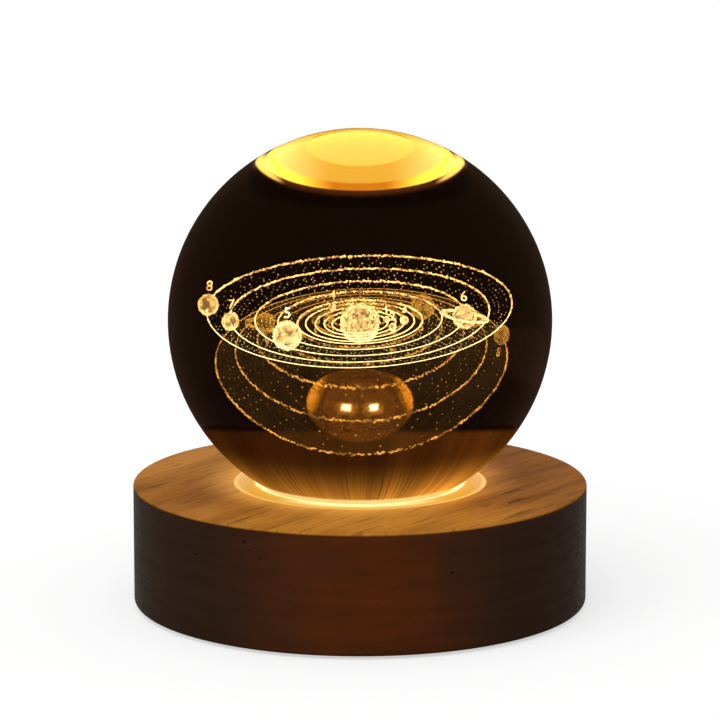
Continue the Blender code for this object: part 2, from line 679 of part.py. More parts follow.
def bend(start, first_pull, second_pull, end):
    """Points of a cubic curve, without its end."""
    points = []
    for i in range(WIRE_STEPS):
        t = i / WIRE_STEPS
        s = 1 - t
        pull = 3 * s * s * t * first_pull + 3 * s * t * t * second_pull
        points.append(s**3 * start + pull + t**3 * end)
    return points


def make_wires():
    """Two wires: down from the LED board, back through the pocket, to the power board."""
    start = Vector((0, WIRE_START, LED_BOARD_BOTTOM - FIT_GAP))
    knee = Vector((0, WIRE_START, WIRE_LEVEL))
    middle = Vector((0, BAY_FRONT, WIRE_LEVEL))
    sweep = middle.lerp(knee, WIRE_SWEEP_SHARE)
    board_level = (POWER_BOARD_TOP + POWER_BOARD_BOTTOM) / 2
    end = Vector((0, POWER_BOARD_FRONT - FIT_GAP, board_level))
    half_way = Vector((0, (middle.y + end.y) / 2, 0))
    pulls = [half_way + Vector((0, 0, level)) for level in (middle.z, end.z)]
    route = [*bend(start, knee, sweep, middle), *bend(middle, *pulls, end), end]
    for name, side in (("red_wire", -1), ("black_wire", 1)):
        offset = Vector((side * WIRE_SPACING / 2, 0, 0))
        points = [point + offset for point in route]
        add_tube(name, points, WIRE_RADIUS, name, resolution=2)


def make_rear_panel():
    """The plate that closes the window at the back, with two holes."""
    plate = slab(PANEL_HALF_WIDTH, PANEL_HALF_HEIGHT, PANEL_BACK, PANEL_FACE)
    panel = add_piece("rear_panel", plate, "black_plastic", (0, 0, PANEL_AXIS))
    ends = (PANEL_BACK - OVERRUN, PANEL_FACE + OVERRUN)
    half_width = SOCKET_HALF_WIDTH + FIT_GAP
    mouth = slab(half_width, SOCKET_HALF_HEIGHT + FIT_GAP, *ends)
    cut(panel, moved(mouth, (SOCKET_OFFSET, 0, 0)), "socket_hole")
    hole = laid_back(rod(BUTTON_RADIUS + FIT_GAP, *ends, steps=BUTTON_STEPS))
    cut(panel, moved(hole, (-BUTTON_OFFSET, 0, 0)), "button_hole")


def make_bottom():
    """The cover under the pocket, its screws, and the rubber feet set into it."""
    disc = rod(COVER_RADIUS, BASE_BOTTOM, COVER_TOP, steps=BASE_STEPS)
    cover = add_piece("bottom_cover", disc, "dark_plastic")
    foot_places = around(4, COVER_RADIUS - FOOT_INSET, 45)
    low = BASE_BOTTOM - OVERRUN
    sockets = []
    for place in foot_places:
        top = FOOT_THICKNESS + FIT_GAP
        sockets.append(rod(FOOT_RADIUS + FIT_GAP, low, top, place, BUTTON_STEPS))
    cut(cover, joined(sockets), "foot_sockets")

    head_under = cover_screw_head() + COVER_SCREW_HEAD_HEIGHT
    wells, holes = [], []
    for place in cover_screw_places():
        well = COVER_SCREW_HEAD_RADIUS + FIT_GAP
        wells.append(rod(well, low, head_under + FIT_GAP, place))
        hole = COVER_SCREW_RADIUS + FIT_GAP
        holes.append(rod(hole, low, COVER_TOP + OVERRUN, place))
    cut(cover, joined(wells), "screw_wells")
    cut(cover, joined(holes), "screw_holes")

    names = ("cover_screw_right", "cover_screw_left", "cover_screw_front")
    head_top, tip = cover_screw_head(), cover_screw_head() + COVER_SCREW_LENGTH
    add_screws(names, cover_screw_places(), head_top, tip, COVER_SCREW)

    names = ("foot_back_right", "foot_back_left", "foot_front_left", "foot_front_right")
    rim = (FOOT_RADIUS - FOOT_EDGE_ROUND, FOOT_EDGE_ROUND)
    profile = [(0, 0), *arc(rim, FOOT_EDGE_ROUND, -90, 0)]
    profile += [(FOOT_RADIUS, FOOT_THICKNESS), (0, FOOT_THICKNESS)]
    for name, place in zip(names, foot_places):
        add_piece(name, turned(profile, BUTTON_STEPS), "rubber", (*place, 0))


def make_lamp():
    for obj in list(bpy.data.objects):
        bpy.data.objects.remove(obj, do_unlink=True)
    ball_origin = add_object("ball_lift", None)
    ball_origin.location = (0, 0, BALL_CENTRE)
    button_origin = add_object("button_press", None)
    button_origin.location = (-BUTTON_OFFSET, BUTTON_BACK, PANEL_AXIS)
    make_ball(ball_origin)
    make_base()
    make_seat_ring()
    make_led_board()
    make_power_board()
    make_socket()
    make_switch(button_origin)
    make_wires()
    make_rear_panel()
    make_bottom()


make_lamp()
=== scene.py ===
import json
import math
import random

import bmesh
import bpy
from mathutils import Matrix, Vector


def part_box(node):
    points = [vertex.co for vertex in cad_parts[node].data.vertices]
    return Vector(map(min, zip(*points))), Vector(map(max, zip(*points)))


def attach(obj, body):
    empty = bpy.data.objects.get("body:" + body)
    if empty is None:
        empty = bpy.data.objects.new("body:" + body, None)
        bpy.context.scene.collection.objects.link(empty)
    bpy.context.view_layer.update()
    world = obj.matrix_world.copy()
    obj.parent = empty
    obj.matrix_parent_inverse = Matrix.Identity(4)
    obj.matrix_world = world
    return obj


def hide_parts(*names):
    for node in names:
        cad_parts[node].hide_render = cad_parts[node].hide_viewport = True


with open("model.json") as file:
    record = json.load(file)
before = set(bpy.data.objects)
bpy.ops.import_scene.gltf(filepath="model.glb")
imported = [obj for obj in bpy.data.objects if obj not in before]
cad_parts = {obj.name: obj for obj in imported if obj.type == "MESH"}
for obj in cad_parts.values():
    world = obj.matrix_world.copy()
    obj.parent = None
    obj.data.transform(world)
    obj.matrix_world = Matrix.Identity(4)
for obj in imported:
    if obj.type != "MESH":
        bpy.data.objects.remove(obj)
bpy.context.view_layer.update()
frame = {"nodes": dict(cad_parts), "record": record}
scene = bpy.context.scene
mm = 0.001
fitGap = 0.3 * mm  # what the solids keep between pieces that touch
past = 2 * mm  # how far a cutter reaches beyond the face that it opens
print("frame loaded,", len(frame["nodes"]), "nodes")


# Places read from the solids

ballLow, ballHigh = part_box("crystal_ball")
ballCentre = (ballLow + ballHigh) / 2
ballRadius = (ballHigh.z - ballLow.z) / 2
baseLow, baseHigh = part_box("wood_base")
baseRadius = baseHigh.y
baseTop = baseHigh.z
baseBottom = baseLow.z
ringLow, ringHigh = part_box("seat_ring")
ringRadius = ringHigh.x
boardLow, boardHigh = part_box("led_board")
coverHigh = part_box("bottom_cover")[1]
panelLow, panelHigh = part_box("rear_panel")
panelAxis = (panelLow.z + panelHigh.z) / 2


# Camera, at the photograph's angle

cameraSetup = {
    "distance": 0.8927,
    "height": 0.2330,
    "pitch": 11.47,  # degrees below the level
    "lens": 218.4,
    "sensor": 36.0,
}


def makeCamera(c):
    data = bpy.data.cameras.new("photoCamera")
    data.lens = c["lens"]
    data.sensor_width = c["sensor"]
    camera = bpy.data.objects.new("photoCamera", data)
    camera.location = (0, -c["distance"], c["height"])
    camera.rotation_euler = (math.radians(90 - c["pitch"]), 0, 0)
    scene.collection.objects.link(camera)
    scene.camera = camera


makeCamera(cameraSetup)
print("camera placed")


# Node helpers

def isSocket(value):
    return isinstance(value, bpy.types.NodeSocket)


# Sets a node's inputs to plain values, or links them where a socket is given
def feed(node, inputs):
    for name, value in inputs.items():
        if isSocket(value):
            node.id_data.links.new(value, node.inputs[name])
        else:
            node.inputs[name].default_value = value


def put(tree, kind, inputs=None, **settings):
    node = tree.nodes.new("ShaderNode" + kind)
    for name, value in settings.items():
        setattr(node, name, value)
    feed(node, inputs or {})
    return node


# The same, in the tree of the sockets among its inputs
def follow(kind, inputs, **settings):
    tree = next(value.id_data for value in inputs.values() if isSocket(value))
    return put(tree, kind, inputs, **settings).outputs


def maths(operation, a, b=0.0, c=0.0, clamp=False):
    return follow("Math", {0: a, 1: b, 2: c}, operation=operation, use_clamp=clamp)[0]


def times(a, b):
    return maths("MULTIPLY", a, b)


def blend(factor, a, b):
    return follow("Mix", {0: factor, 2: a, 3: b})[0]


def blendColour(factor, a, b):
    return follow("Mix", {0: factor, 6: a, 7: b}, data_type="RGBA")[2]


def vectorMaths(operation, a, b=(0, 0, 0)):
    return follow("VectorMath", {0: a, 1: b}, operation=operation)


def scaled(vector, amount):
    return follow("VectorMath", {0: vector, "Scale": amount}, operation="SCALE")[0]


def remap(value, low, high, start=0.0, end=1.0, smooth=True):
    shape = "SMOOTHSTEP" if smooth else "LINEAR"
    inputs = {"Value": value, "From Min": low, "From Max": high, "To Min": start, "To Max": end}
    return follow("MapRange", inputs, interpolation_type=shape)[0]


def noise(vector, scale, detail=3.0, rough=0.55):
    return follow("TexNoise", {"Vector": vector, "Scale": scale, "Detail": detail, "Roughness": rough})["Fac"]


# Object coordinates, turned about Z by so many degrees, then stretched and moved
def place(tree, turn=0, stretch=(1, 1, 1), offset=(0, 0, 0)):
    here = put(tree, "TexCoord").outputs["Object"]
    if turn:
        inputs = {"Vector": here, "Angle": math.radians(-turn)}
        here = follow("VectorRotate", inputs, rotation_type="Z_AXIS")[0]
    return follow("Mapping", {"Vector": here, "Location": offset, "Scale": stretch})[0]


def axes(vector):
    return follow("SeparateXYZ", {0: vector})


def sideways(split):
    return maths("ABSOLUTE", split["X"])


def grey(value):
    return (value, value, value, 1)


def newMaterial(name):
    material = bpy.data.materials.new(name)
    material.use_nodes = True
    tree = material.node_tree
    return material, tree, tree.nodes["Principled BSDF"]


# Gives a material this light of its own
def shine(material, light, strength=1.0):
    shader = material.node_tree.nodes["Principled BSDF"]
    feed(shader, {"Emission Color": light, "Emission Strength": strength})
    material.cycles.emission_sampling = "NONE"


# The ball's inner mirror is this much stronger, so that few rays are lost, and each light is as
# much weaker for every reflection behind it
mirrorBoost = 2.0
onceMirrored = 0.5  # a ray's glossy depth is above this after one reflection
twiceMirrored = 1.5


def mirrorDepth(tree):
    return put(tree, "LightPath").outputs["Glossy Depth"]


def mirrorFade(tree):
    return maths("POWER", 1 / mirrorBoost, mirrorDepth(tree))


# A light's colour by itself, its full strength in the ball darkened by painted shade, and after two mirrors
def seenOrThrough(tree, seen, through, echo):
    twice = maths("GREATER_THAN", mirrorDepth(tree), twiceMirrored)
    full = scaled(blendColour(twice, through, echo), mirrorFade(tree))
    inBall = put(tree, "LightPath").outputs["Is Transmission Ray"]
    return blendColour(inBall, seen, full)


# An object from a bmesh, which is then free
def addObject(name, shape):
    mesh = bpy.data.meshes.new(name)
    shape.to_mesh(mesh)
    shape.free()
    added = bpy.data.objects.new(name, mesh)
    scene.collection.objects.link(added)
    return added


# World, floor and lamps: plain and soft, white behind the lamp

studio = {
    "worldLevel": 0.62,
    "sunLevel": 1.15,
    "sunSpread": 70,  # degrees
    "sunTurn": (38, -24, 0),
    "floorSize": 6.0,
    "floorColour": 0.52,
    "floorWhite": 0.57,
}


# 1 for the rays that see the background: camera, glossy and transmission
def seenRays(tree):
    rays = put(tree, "LightPath").outputs
    direct = maths("ADD", rays["Is Camera Ray"], rays["Is Glossy Ray"])
    return maths("ADD", direct, rays["Is Transmission Ray"], clamp=True)


def makeWorld(s):
    world = bpy.data.worlds.new("studioWorld")
    scene.world = world
    world.use_nodes = True
    tree = world.node_tree
    lit = tree.nodes["Background"]
    feed(lit, {"Color": grey(1), "Strength": s["worldLevel"]})
    white = put(tree, "Background", {"Color": grey(1), "Strength": 1.0})
    both = follow("MixShader", {0: seenRays(tree), 1: lit.outputs[0], 2: white.outputs[0]})
    feed(tree.nodes["World Output"], {"Surface": both[0]})


def makeSun(s):
    lamp = bpy.data.lights.new("softSun", "SUN")
    lamp.energy = s["sunLevel"]
    lamp.angle = math.radians(s["sunSpread"])
    sun = bpy.data.objects.new("softSun", lamp)
    sun.rotation_euler = [math.radians(a) for a in s["sunTurn"]]
    sun.visible_glossy = False
    scene.collection.objects.link(sun)


def makeFloor(s):
    shape = bmesh.new()
    bmesh.ops.create_grid(shape, x_segments=1, y_segments=1, size=s["floorSize"])
    floor = addObject("floor", shape)
    material, tree, shader = newMaterial("paleFloor")
    white = times(seenRays(tree), s["floorWhite"])
    feed(shader, {"Base Color": grey(s["floorColour"]), "Roughness": 1.0, "Specular IOR Level": 0.0})
    feed(shader, {"Emission Color": grey(1), "Emission Strength": white})
    floor.data.materials.append(material)


makeWorld(studio)
makeSun(studio)
makeFloor(studio)
scene.view_settings.view_transform = "Standard"
print("studio ready")


# Mesh helpers

sharpTurn = 35  # degrees between two faces that keep an edge


# A finished piece from a bmesh: smooth, on its body, standing for the nodes named
def addPiece(name, shape, material, body, slotName, *nodes, angle=sharpTurn):
    piece = addObject(name, shape)
    piece.data.shade_smooth()
    piece.data.set_sharp_from_angle(angle=math.radians(angle))
    piece.data.materials.append(material)
    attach(piece, body)
    if nodes:
        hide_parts(*nodes)
    return piece


def hideFrom(piece, *rays):
    for ray in rays:
        setattr(piece, "visible_" + ray, False)


# Applies one modifier to a piece's mesh
def reshape(piece, kind, **settings):
    modifier = piece.modifiers.new(kind, kind)
    for name, value in settings.items():
        setattr(modifier, name, value)
    depsgraph = bpy.context.evaluated_depsgraph_get()
    old = piece.data
    piece.data = bpy.data.meshes.new_from_object(piece.evaluated_get(depsgraph))
    piece.data.name = old.name
    piece.modifiers.clear()
    bpy.data.meshes.remove(old)
    piece.data.set_sharp_from_angle(angle=math.radians(sharpTurn))


def roundRims(piece, width, segments):
    settings = {"width": width, "segments": segments, "angle_limit": math.radians(50)}
    reshape(piece, "BEVEL", limit_method="ANGLE", **settings)


# Cuts a bmesh out of a piece
def cutAway(piece, shape):
    cutter = addObject("cutter", shape)
    mesh = cutter.data
    reshape(piece, "BOOLEAN", operation="DIFFERENCE", object=cutter)
    bpy.data.objects.remove(cutter)
    bpy.data.meshes.remove(mesh)


def arc(centre, radius, start, end, steps=6):
    angles = [math.radians(start + (end - start) * i / steps) for i in range(steps + 1)]
    return [(centre[0] + radius * math.cos(a), centre[1] + radius * math.sin(a)) for a in angles]


# The points (r, z) turned about Z; closed joins the last point to the first
def spun(profile, steps, closed=True):
    shape = bmesh.new()
    points = [shape.verts.new((r, 0, z)) for r, z in profile]
    pairs = list(zip(points, points[1:]))
    if closed:
        pairs.append((points[-1], points[0]))
    edges = [shape.edges.new(pair) for pair in pairs]
    about = {"cent": (0, 0, 0), "axis": (0, 0, 1), "angle": 2 * math.pi}
    bmesh.ops.spin(shape, geom=points + edges, steps=steps, use_merge=True, **about)
    bmesh.ops.remove_doubles(shape, verts=shape.verts, dist=0.001 * mm)
    bmesh.ops.recalc_face_normals(shape, faces=shape.faces)
    return shape


def block(low, high):
    shape = bmesh.new()
    bmesh.ops.create_cube(shape, size=1)
    low, high = Vector(low), Vector(high)
    bmesh.ops.scale(shape, vec=high - low, verts=shape.verts)
    bmesh.ops.translate(shape, vec=(low + high) / 2, verts=shape.verts)
    return shape


# A plate with round ends in the XZ plane, between two depths along Y
def slab(halfWidth, halfHeight, front, back, centreX=0, steps=20):
    shape = bmesh.new()
    straight = halfWidth - halfHeight
    outline = arc((straight, 0), halfHeight, -90, 90, steps)
    outline += arc((-straight, 0), halfHeight, 90, 270, steps)
    corners = [shape.verts.new((x + centreX, front, z + panelAxis)) for x, z in outline]
    grown = bmesh.ops.extrude_face_region(shape, geom=[shape.faces.new(corners)])
    moving = [item for item in grown["geom"] if isinstance(item, bmesh.types.BMVert)]
    bmesh.ops.translate(shape, vec=(0, back - front, 0), verts=moving)
    bmesh.ops.recalc_face_normals(shape, faces=shape.faces)
    return shape


# Bevels the edges that turn by more than the least angle in degrees
def roundEdges(shape, width, segments=2, least=30):
    sharp = [e for e in shape.edges if e.calc_face_angle(0) > math.radians(least)]
    settings = {"affect": "EDGES", "profile": 0.5, "material": -1, "clamp_overlap": True}
    bmesh.ops.bevel(shape, geom=sharp, offset=width, segments=segments, **settings)
    return shape


# Turns an upright shape so that its +Z points along +Y
def laidBack(shape):
    turn = Matrix.Rotation(-math.pi / 2, 3, "X")
    bmesh.ops.rotate(shape, cent=(0, 0, 0), matrix=turn, verts=shape.verts)
    return shape


# Shared effects, as node groups

grainEffect = {
    "broadScale": 90.0,
    "shade": (0.5, 0.75),  # share of the broad cloud, and what is added
    "rough": (0.16, -0.08),
    "height": 0.05 * mm,
}


def newGroup(name, inputs, outputs):
    group = bpy.data.node_groups.new(name, "ShaderNodeTree")
    for label, value in inputs.items():
        socket = group.interface.new_socket(label, in_out="INPUT", socket_type="NodeSocketFloat")
        socket.default_value = value
    for label, kind in outputs.items():
        group.interface.new_socket(label, in_out="OUTPUT", socket_type="NodeSocket" + kind)
    return group, group.nodes.new("NodeGroupInput").outputs, group.nodes.new("NodeGroupOutput")


# Fine moulded grain: a shade, a roughness and a normal
def makeGrainGroup(g):
    inputs = {"Scale": 900.0, "Depth": 0.2, "Roughness": 0.5}
    outputs = {"Shade": "Float", "Roughness": "Float", "Normal": "Vector"}
    group, given, out = newGroup("fineGrain", inputs, outputs)
    here = place(group)
    fine = noise(here, given["Scale"], detail=2.0)
    broad = noise(here, g["broadScale"])
    shade = maths("MULTIPLY_ADD", broad, *g["shade"])
    rough = maths("ADD", given["Roughness"], maths("MULTIPLY_ADD", broad, *g["rough"]))
    bump = follow("Bump", {"Height": fine, "Strength": given["Depth"], "Distance": g["height"]})[0]
    feed(out, {"Shade": shade, "Roughness": rough, "Normal": bump})
    return group


# How strongly the light in the base reaches a point, by its distance from the axis
def makeSeatLightGroup():
    inputs = {"Start": 0.02, "End": 0.03}
    group, given, out = newGroup("seatLight", inputs, {"Light": "Float", "Radius": "Float"})
    radius = vectorMaths("LENGTH", place(group, stretch=(1, 1, 0)))["Value"]
    light = remap(radius, given["Start"], given["End"], 1.0, 0.0)
    feed(out, {"Light": light, "Radius": radius})
    return group


grainGroup = makeGrainGroup(grainEffect)
seatLightGroup = makeSeatLightGroup()


def seatLight(tree, start, end):
    return put(tree, "Group", {"Start": start, "End": end}, node_tree=seatLightGroup).outputs


# Plain finishes: plastics, ceramic, rubber and insulation share the fine grain

plainFinishes = {
    "black_plastic": {"colour": (0.020, 0.019, 0.018), "rough": 0.46, "scale": 1500, "depth": 0.25},
    "dark_plastic": {"colour": (0.042, 0.036, 0.032), "rough": 0.52, "scale": 1200, "depth": 0.3},
    "rubber": {"colour": (0.028, 0.027, 0.026), "rough": 0.82, "scale": 800, "depth": 0.5},
    "black_ceramic": {"colour": (0.020, 0.020, 0.022), "rough": 0.42, "scale": 2400, "depth": 0.15},
    "red_wire": {"colour": (0.50, 0.018, 0.014), "rough": 0.40, "scale": 700, "depth": 0.1},
    "black_wire": {"colour": (0.016, 0.016, 0.017), "rough": 0.40, "scale": 700, "depth": 0.1},
    "capacitor_sleeve": {"colour": (0.030, 0.035, 0.060), "rough": 0.34, "scale": 500, "depth": 0.1},
}

steel = {
    "dark": (0.50, 0.50, 0.51, 1),
    "light": (0.68, 0.68, 0.70, 1),
    "brushScale": 1400.0,
    "brushStretch": 14,
    "rough": (0.22, 0.36),
}


def makePlainFinish(name, f):
    material, tree, shader = newMaterial(name)
    values = {"Scale": f["scale"], "Depth": f["depth"], "Roughness": f["rough"]}
    grain = put(tree, "Group", values, node_tree=grainGroup).outputs
    colour = scaled(f["colour"], grain["Shade"])
    feed(shader, {"Base Color": colour, "Roughness": grain["Roughness"], "Normal": grain["Normal"]})
    return material


# Nickel plate with faint brushing
def makeSteel(s):
    material, tree, shader = newMaterial("steel")
    streaks = noise(place(tree, stretch=(1, 1, s["brushStretch"])), s["brushScale"], detail=2.0)
    colour = blendColour(streaks, s["dark"], s["light"])
    rough = remap(streaks, 0.3, 0.7, *s["rough"])
    feed(shader, {"Base Color": colour, "Metallic": 1.0, "Roughness": rough})
    return material


finishes = {name: makePlainFinish(name, values) for name, values in plainFinishes.items()}
finishes["steel"] = makeSteel(steel)


# Wood base. A range of four is low, high, and what the two turn into

wood = {
    "topRound": 0.6 * mm,
    "footRound": 1.0 * mm,
    "wellRadius": boardHigh.x + 0.4 * mm,
    "throatRadius": 15.5 * mm,
    "pocketRadius": 30.0 * mm,
    "pocketTop": 10.0 * mm,
    "windowInset": (2.5 * mm, 1.4 * mm),  # inside the panel's recess, sideways and upwards
    "bayDepth": 5.7 * mm,  # of the power board's bay in front of the board
    "steps": 192,
    "grainTurn": 54,  # degrees of the grain from the X axis
    "figure": {"stretch": 0.14, "scale": 150.0, "detail": 5.0, "rough": 0.7},
    "lines": {"stretch": 0.05, "scale": 1500.0, "detail": 3.0, "rough": 0.65},
    "flecks": {"stretch": 0.07, "scale": 900.0, "detail": 1.0, "rough": 0.55},
    "topLight": (0.425, 0.158, 0.016, 1),
    "topDark": (0.235, 0.074, 0.006, 1),
    "lineRange": (0.45, 0.70, 0.0, 0.55),
    "pore": (0.070, 0.024, 0.007, 1),
    "poreRange": (0.63, 0.67),
    "poreDepth": 0.8,
    # the side's colours: painted shade, far darker than the top
    "sideDark": (0.032, 0.0160, 0.0085, 1),
    "sideRed": (0.100, 0.0230, 0.0050, 1),
    "redReach": (0.05 * baseRadius, 0.72 * baseRadius, 1.0, 0.0),
    "sideFleck": (0.012, 0.006, 0.004, 1),
    "sideLevel": (0.3, 0.7, 0.0, 0.28),
    "sideDots": (0.74, 0.80, 0.0, 0.85),
    "gloss": 0.01,
    "rough": (0.3, 0.7, 0.42, 0.60),
    "bump": (0.35, 0.10 * mm),  # strength and height
}

woodLight = {
    "glow": (0.52, 0.27, 0.050),  # round the ring
    "glowReach": 14.0 * mm,  # past the ring's rim
    "glowPower": 2.6,
    "leftward": (-ringRadius, ringRadius, 1.0, 0.55),
    "grain": (0.30, 0.62, 0.75, 1.0),
    "spread": (0.26, 0.125, 0.024),  # the wider light in front and at the back left
    "spreadReach": 1.15 * baseRadius,
    "front": (-0.35 * baseRadius, -0.85 * baseRadius),
    "backLeft": (0.70 * baseRadius, 1.20 * baseRadius),
    "gapGlow": (0.80, 0.44, 0.09),
    "wellTop": baseTop - 4.0 * mm,
    "wellSeen": (0.80, 0.50, 0.16, 1),
    "wellGlow": (21.0, 21.0, 7.0, 1),
    "wellEcho": (8.0, 6.0, 1.4, 1),
}


def grainNoise(tree, turn, g):
    return noise(place(tree, turn, (g["stretch"], 1, 1)), g["scale"], g["detail"], g["rough"])


# The side, painted far darker than the top as shade, redder towards the middle of the front and back, with
# darker flecks and dots
def woodSide(w, tree, split, patches):
    red = remap(sideways(split), *w["redReach"])
    red = times(red, remap(patches, 0.25, 0.65, 0.55, 1.0))
    side = blendColour(red, w["sideDark"], w["sideRed"])
    level = noise(place(tree, stretch=(0.12, 0.12, 1)), 420.0, detail=4.0, rough=0.6)
    side = blendColour(remap(level, *w["sideLevel"]), side, w["sideFleck"])
    dots = noise(place(tree, stretch=(0.45, 0.45, 1)), 640.0, detail=1.0)
    return blendColour(remap(dots, *w["sideDots"]), side, w["sideFleck"])


# What the ring spills on the wood, and the lit well and slit inside it
def woodGlow(g, tree, split, figure, onTop):
    near = seatLight(tree, ringRadius - 1.5 * mm, ringRadius + g["glowReach"])["Light"]
    near = times(maths("POWER", near, g["glowPower"]), onTop)
    grain = remap(figure, *g["grain"])
    leftward = remap(split["X"], *g["leftward"])
    near = times(near, times(leftward, grain))
    forward = remap(split["Y"], *g["front"])
    corner = maths("SUBTRACT", split["Y"], split["X"])
    backLeft = remap(corner, *g["backLeft"])
    reach = times(maths("MAXIMUM", forward, backLeft), grain)
    wide = seatLight(tree, ringRadius, g["spreadReach"])["Light"]
    wide = times(maths("POWER", wide, 0.5), times(reach, onTop))
    gap = seatLight(tree, ringRadius + 0.4 * mm, ringRadius + 0.5 * mm)["Light"]
    gap = times(gap, maths("SUBTRACT", 1.0, onTop))
    inside = seatLight(tree, ringRadius - 2.0 * mm, ringRadius - 1.0 * mm)["Light"]
    inWell = times(inside, remap(split["Z"], g["wellTop"] - 0.5 * mm, g["wellTop"], 1.0, 0.0))
    wellLight = seenOrThrough(tree, g["wellSeen"], g["wellGlow"], g["wellEcho"])
    light = scaled(g["glow"], near)
    for colour, share in ((g["spread"], wide), (g["gapGlow"], gap), (wellLight, inWell)):
        light = vectorMaths("ADD", light, scaled(colour, share))[0]
    return light


def makeWoodMaterial(w, glow):
    material, tree, shader = newMaterial("oiledWood")
    figure = grainNoise(tree, w["grainTurn"], w["figure"])
    lines = grainNoise(tree, w["grainTurn"], w["lines"])
    flecks = grainNoise(tree, w["grainTurn"], w["flecks"])
    patches = noise(place(tree), 60.0, detail=2.0)
    top = blendColour(remap(figure, 0.25, 0.62), w["topDark"], w["topLight"])
    top = blendColour(remap(lines, *w["lineRange"]), top, w["topDark"])
    gathered = remap(patches, 0.40, 0.60, 0.35, 1.0)
    pores = times(remap(flecks, *w["poreRange"]), gathered)
    top = blendColour(times(pores, w["poreDepth"]), top, w["pore"])

    split = axes(place(tree))
    onTop = remap(split["Z"], baseTop - w["topRound"], baseTop - 0.1 * mm)
    colour = blendColour(onTop, woodSide(w, tree, split, patches), top)
    height = maths("SUBTRACT", times(lines, 0.35), pores)
    strength, distance = w["bump"]
    bump = follow("Bump", {"Height": height, "Strength": strength, "Distance": distance})[0]
    feed(shader, {"Base Color": colour, "Specular IOR Level": w["gloss"]})
    feed(shader, {"Roughness": remap(lines, *w["rough"]), "Normal": bump})
    shine(material, woodGlow(glow, tree, split, figure, onTop))
    return material


# The turned outline, with the ring's seat, the light well and the pocket under it
def woodProfile(w):
    ringHole = ringRadius + fitGap
    ringSeat = ringLow.z - fitGap
    boardSeat = boardLow.z - fitGap
    coverHole = coverHigh.x + fitGap
    coverSeat = coverHigh.z + fitGap
    foot = (baseRadius - w["footRound"], baseBottom + w["footRound"])
    rim = (baseRadius - w["topRound"], baseTop - w["topRound"])
    profile = arc(foot, w["footRound"], -90, 0)
    profile += [(baseRadius, baseBottom + (baseTop - baseBottom) * i / 6) for i in range(1, 6)]
    profile += arc(rim, w["topRound"], 0, 90)
    profile += [((baseRadius + ringHole) / 2, baseTop)]
    profile += [(ringHole, baseTop), (ringHole, ringSeat), (w["wellRadius"], ringSeat)]
    profile += [(w["wellRadius"], boardSeat), (w["throatRadius"], boardSeat)]
    profile += [(w["throatRadius"], w["pocketTop"]), (w["pocketRadius"], w["pocketTop"])]
    profile += [(w["pocketRadius"], coverSeat), (coverHole, coverSeat), (coverHole, baseBottom)]
    return profile


def makeWoodBase(w, glow):
    shape = spun(woodProfile(w), w["steps"])
    base = addPiece("turnedBase", shape, makeWoodMaterial(w, glow), "base", "oiled_wood", "wood_base")
    halfWidth = panelHigh.x + fitGap
    halfHeight = (panelHigh.z - panelLow.z) / 2 + fitGap
    shoulder = panelLow.y - fitGap
    cutAway(base, slab(halfWidth, halfHeight, shoulder, baseRadius + past, steps=24))
    bayLow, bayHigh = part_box("power_board")
    windowWidth = halfWidth - w["windowInset"][0]
    windowHeight = halfHeight - w["windowInset"][1]
    low = (-windowWidth, bayLow.y, panelAxis - windowHeight)
    cutAway(base, block(low, (windowWidth, shoulder + past, panelAxis + windowHeight)))
    low = (bayLow.x - fitGap, bayLow.y - w["bayDepth"], baseBottom - past)
    cutAway(base, block(low, (bayHigh.x + fitGap, bayHigh.y + fitGap, bayHigh.z + fitGap)))


makeWoodBase(wood, woodLight)
print("wood base turned")


# Seat ring, frosted and lit from below

ring = {
    "bore": 16.6 * mm,
    "coneTop": 21.55 * mm,
    "coneFoot": 23.3 * mm,  # height of the cone's lower edge
    "edgeRound": 0.25 * mm,
    "steps": 160,
    "plastic": (0.12, 0.06, 0.015, 1),
    "rough": 0.38,
    "gloss": 0.2,
    "band": (0.66, 0.32, 0.030, 1),
    "contact": (1.55, 1.22, 0.58, 1),
    "rim": (0.86, 0.50, 0.110, 1),
    "cone": (0.95, 0.66, 0.24, 1),
    # strengths that reach the ball darkened by painted shade, at the middle and at the sides
    "coneMiddle": (16.3, 15.0, 3.0, 1),
    "coneSides": (23.0, 25.0, 12.0, 1),
    "topMiddle": (13.0, 7.0, 0.5, 1),
    "topSides": (50.0, 40.0, 6.5, 1),
    "topRim": (0.8, 0.4, 0.03, 1),
    "litEdge": 24.0 * mm,
    "sides": (0.25 * ringRadius, 0.75 * ringRadius),
    # and the same after two reflections in the ball
    "echoMiddle": (6.5, 4.8, 1.2, 1),
    "echoSides": (46.0, 38.0, 3.0, 1),
    "echoRim": (0.8, 0.4, 0.03, 1),
    "echoAside": (0.64 * ringRadius, 0.80 * ringRadius),
}


# The ring's painted glow as seen directly: brightest by the ball, in a wider band at the front, with a
# brighter rim, a little uneven
def ringSeen(r, tree, split):
    light = seatLight(tree, r["coneTop"] + 0.1 * mm, r["coneTop"] + 0.9 * mm)
    wide = seatLight(tree, r["coneTop"] + 0.6 * mm, ringRadius - 0.4 * mm)["Light"]
    forward = remap(split["Y"], -0.6 * ringRadius, -0.9 * ringRadius)
    near = blend(forward, light["Light"], wide)
    colour = blendColour(near, r["band"], r["contact"])
    rim = remap(light["Radius"], ringRadius - 1.0 * mm, ringRadius - 0.3 * mm)
    colour = blendColour(rim, colour, r["rim"])
    cloud = noise(place(tree), 260.0, detail=2.0)
    return blendColour(remap(cloud, 0.3, 0.7, 0.0, 0.25), colour, r["band"]), light["Radius"]


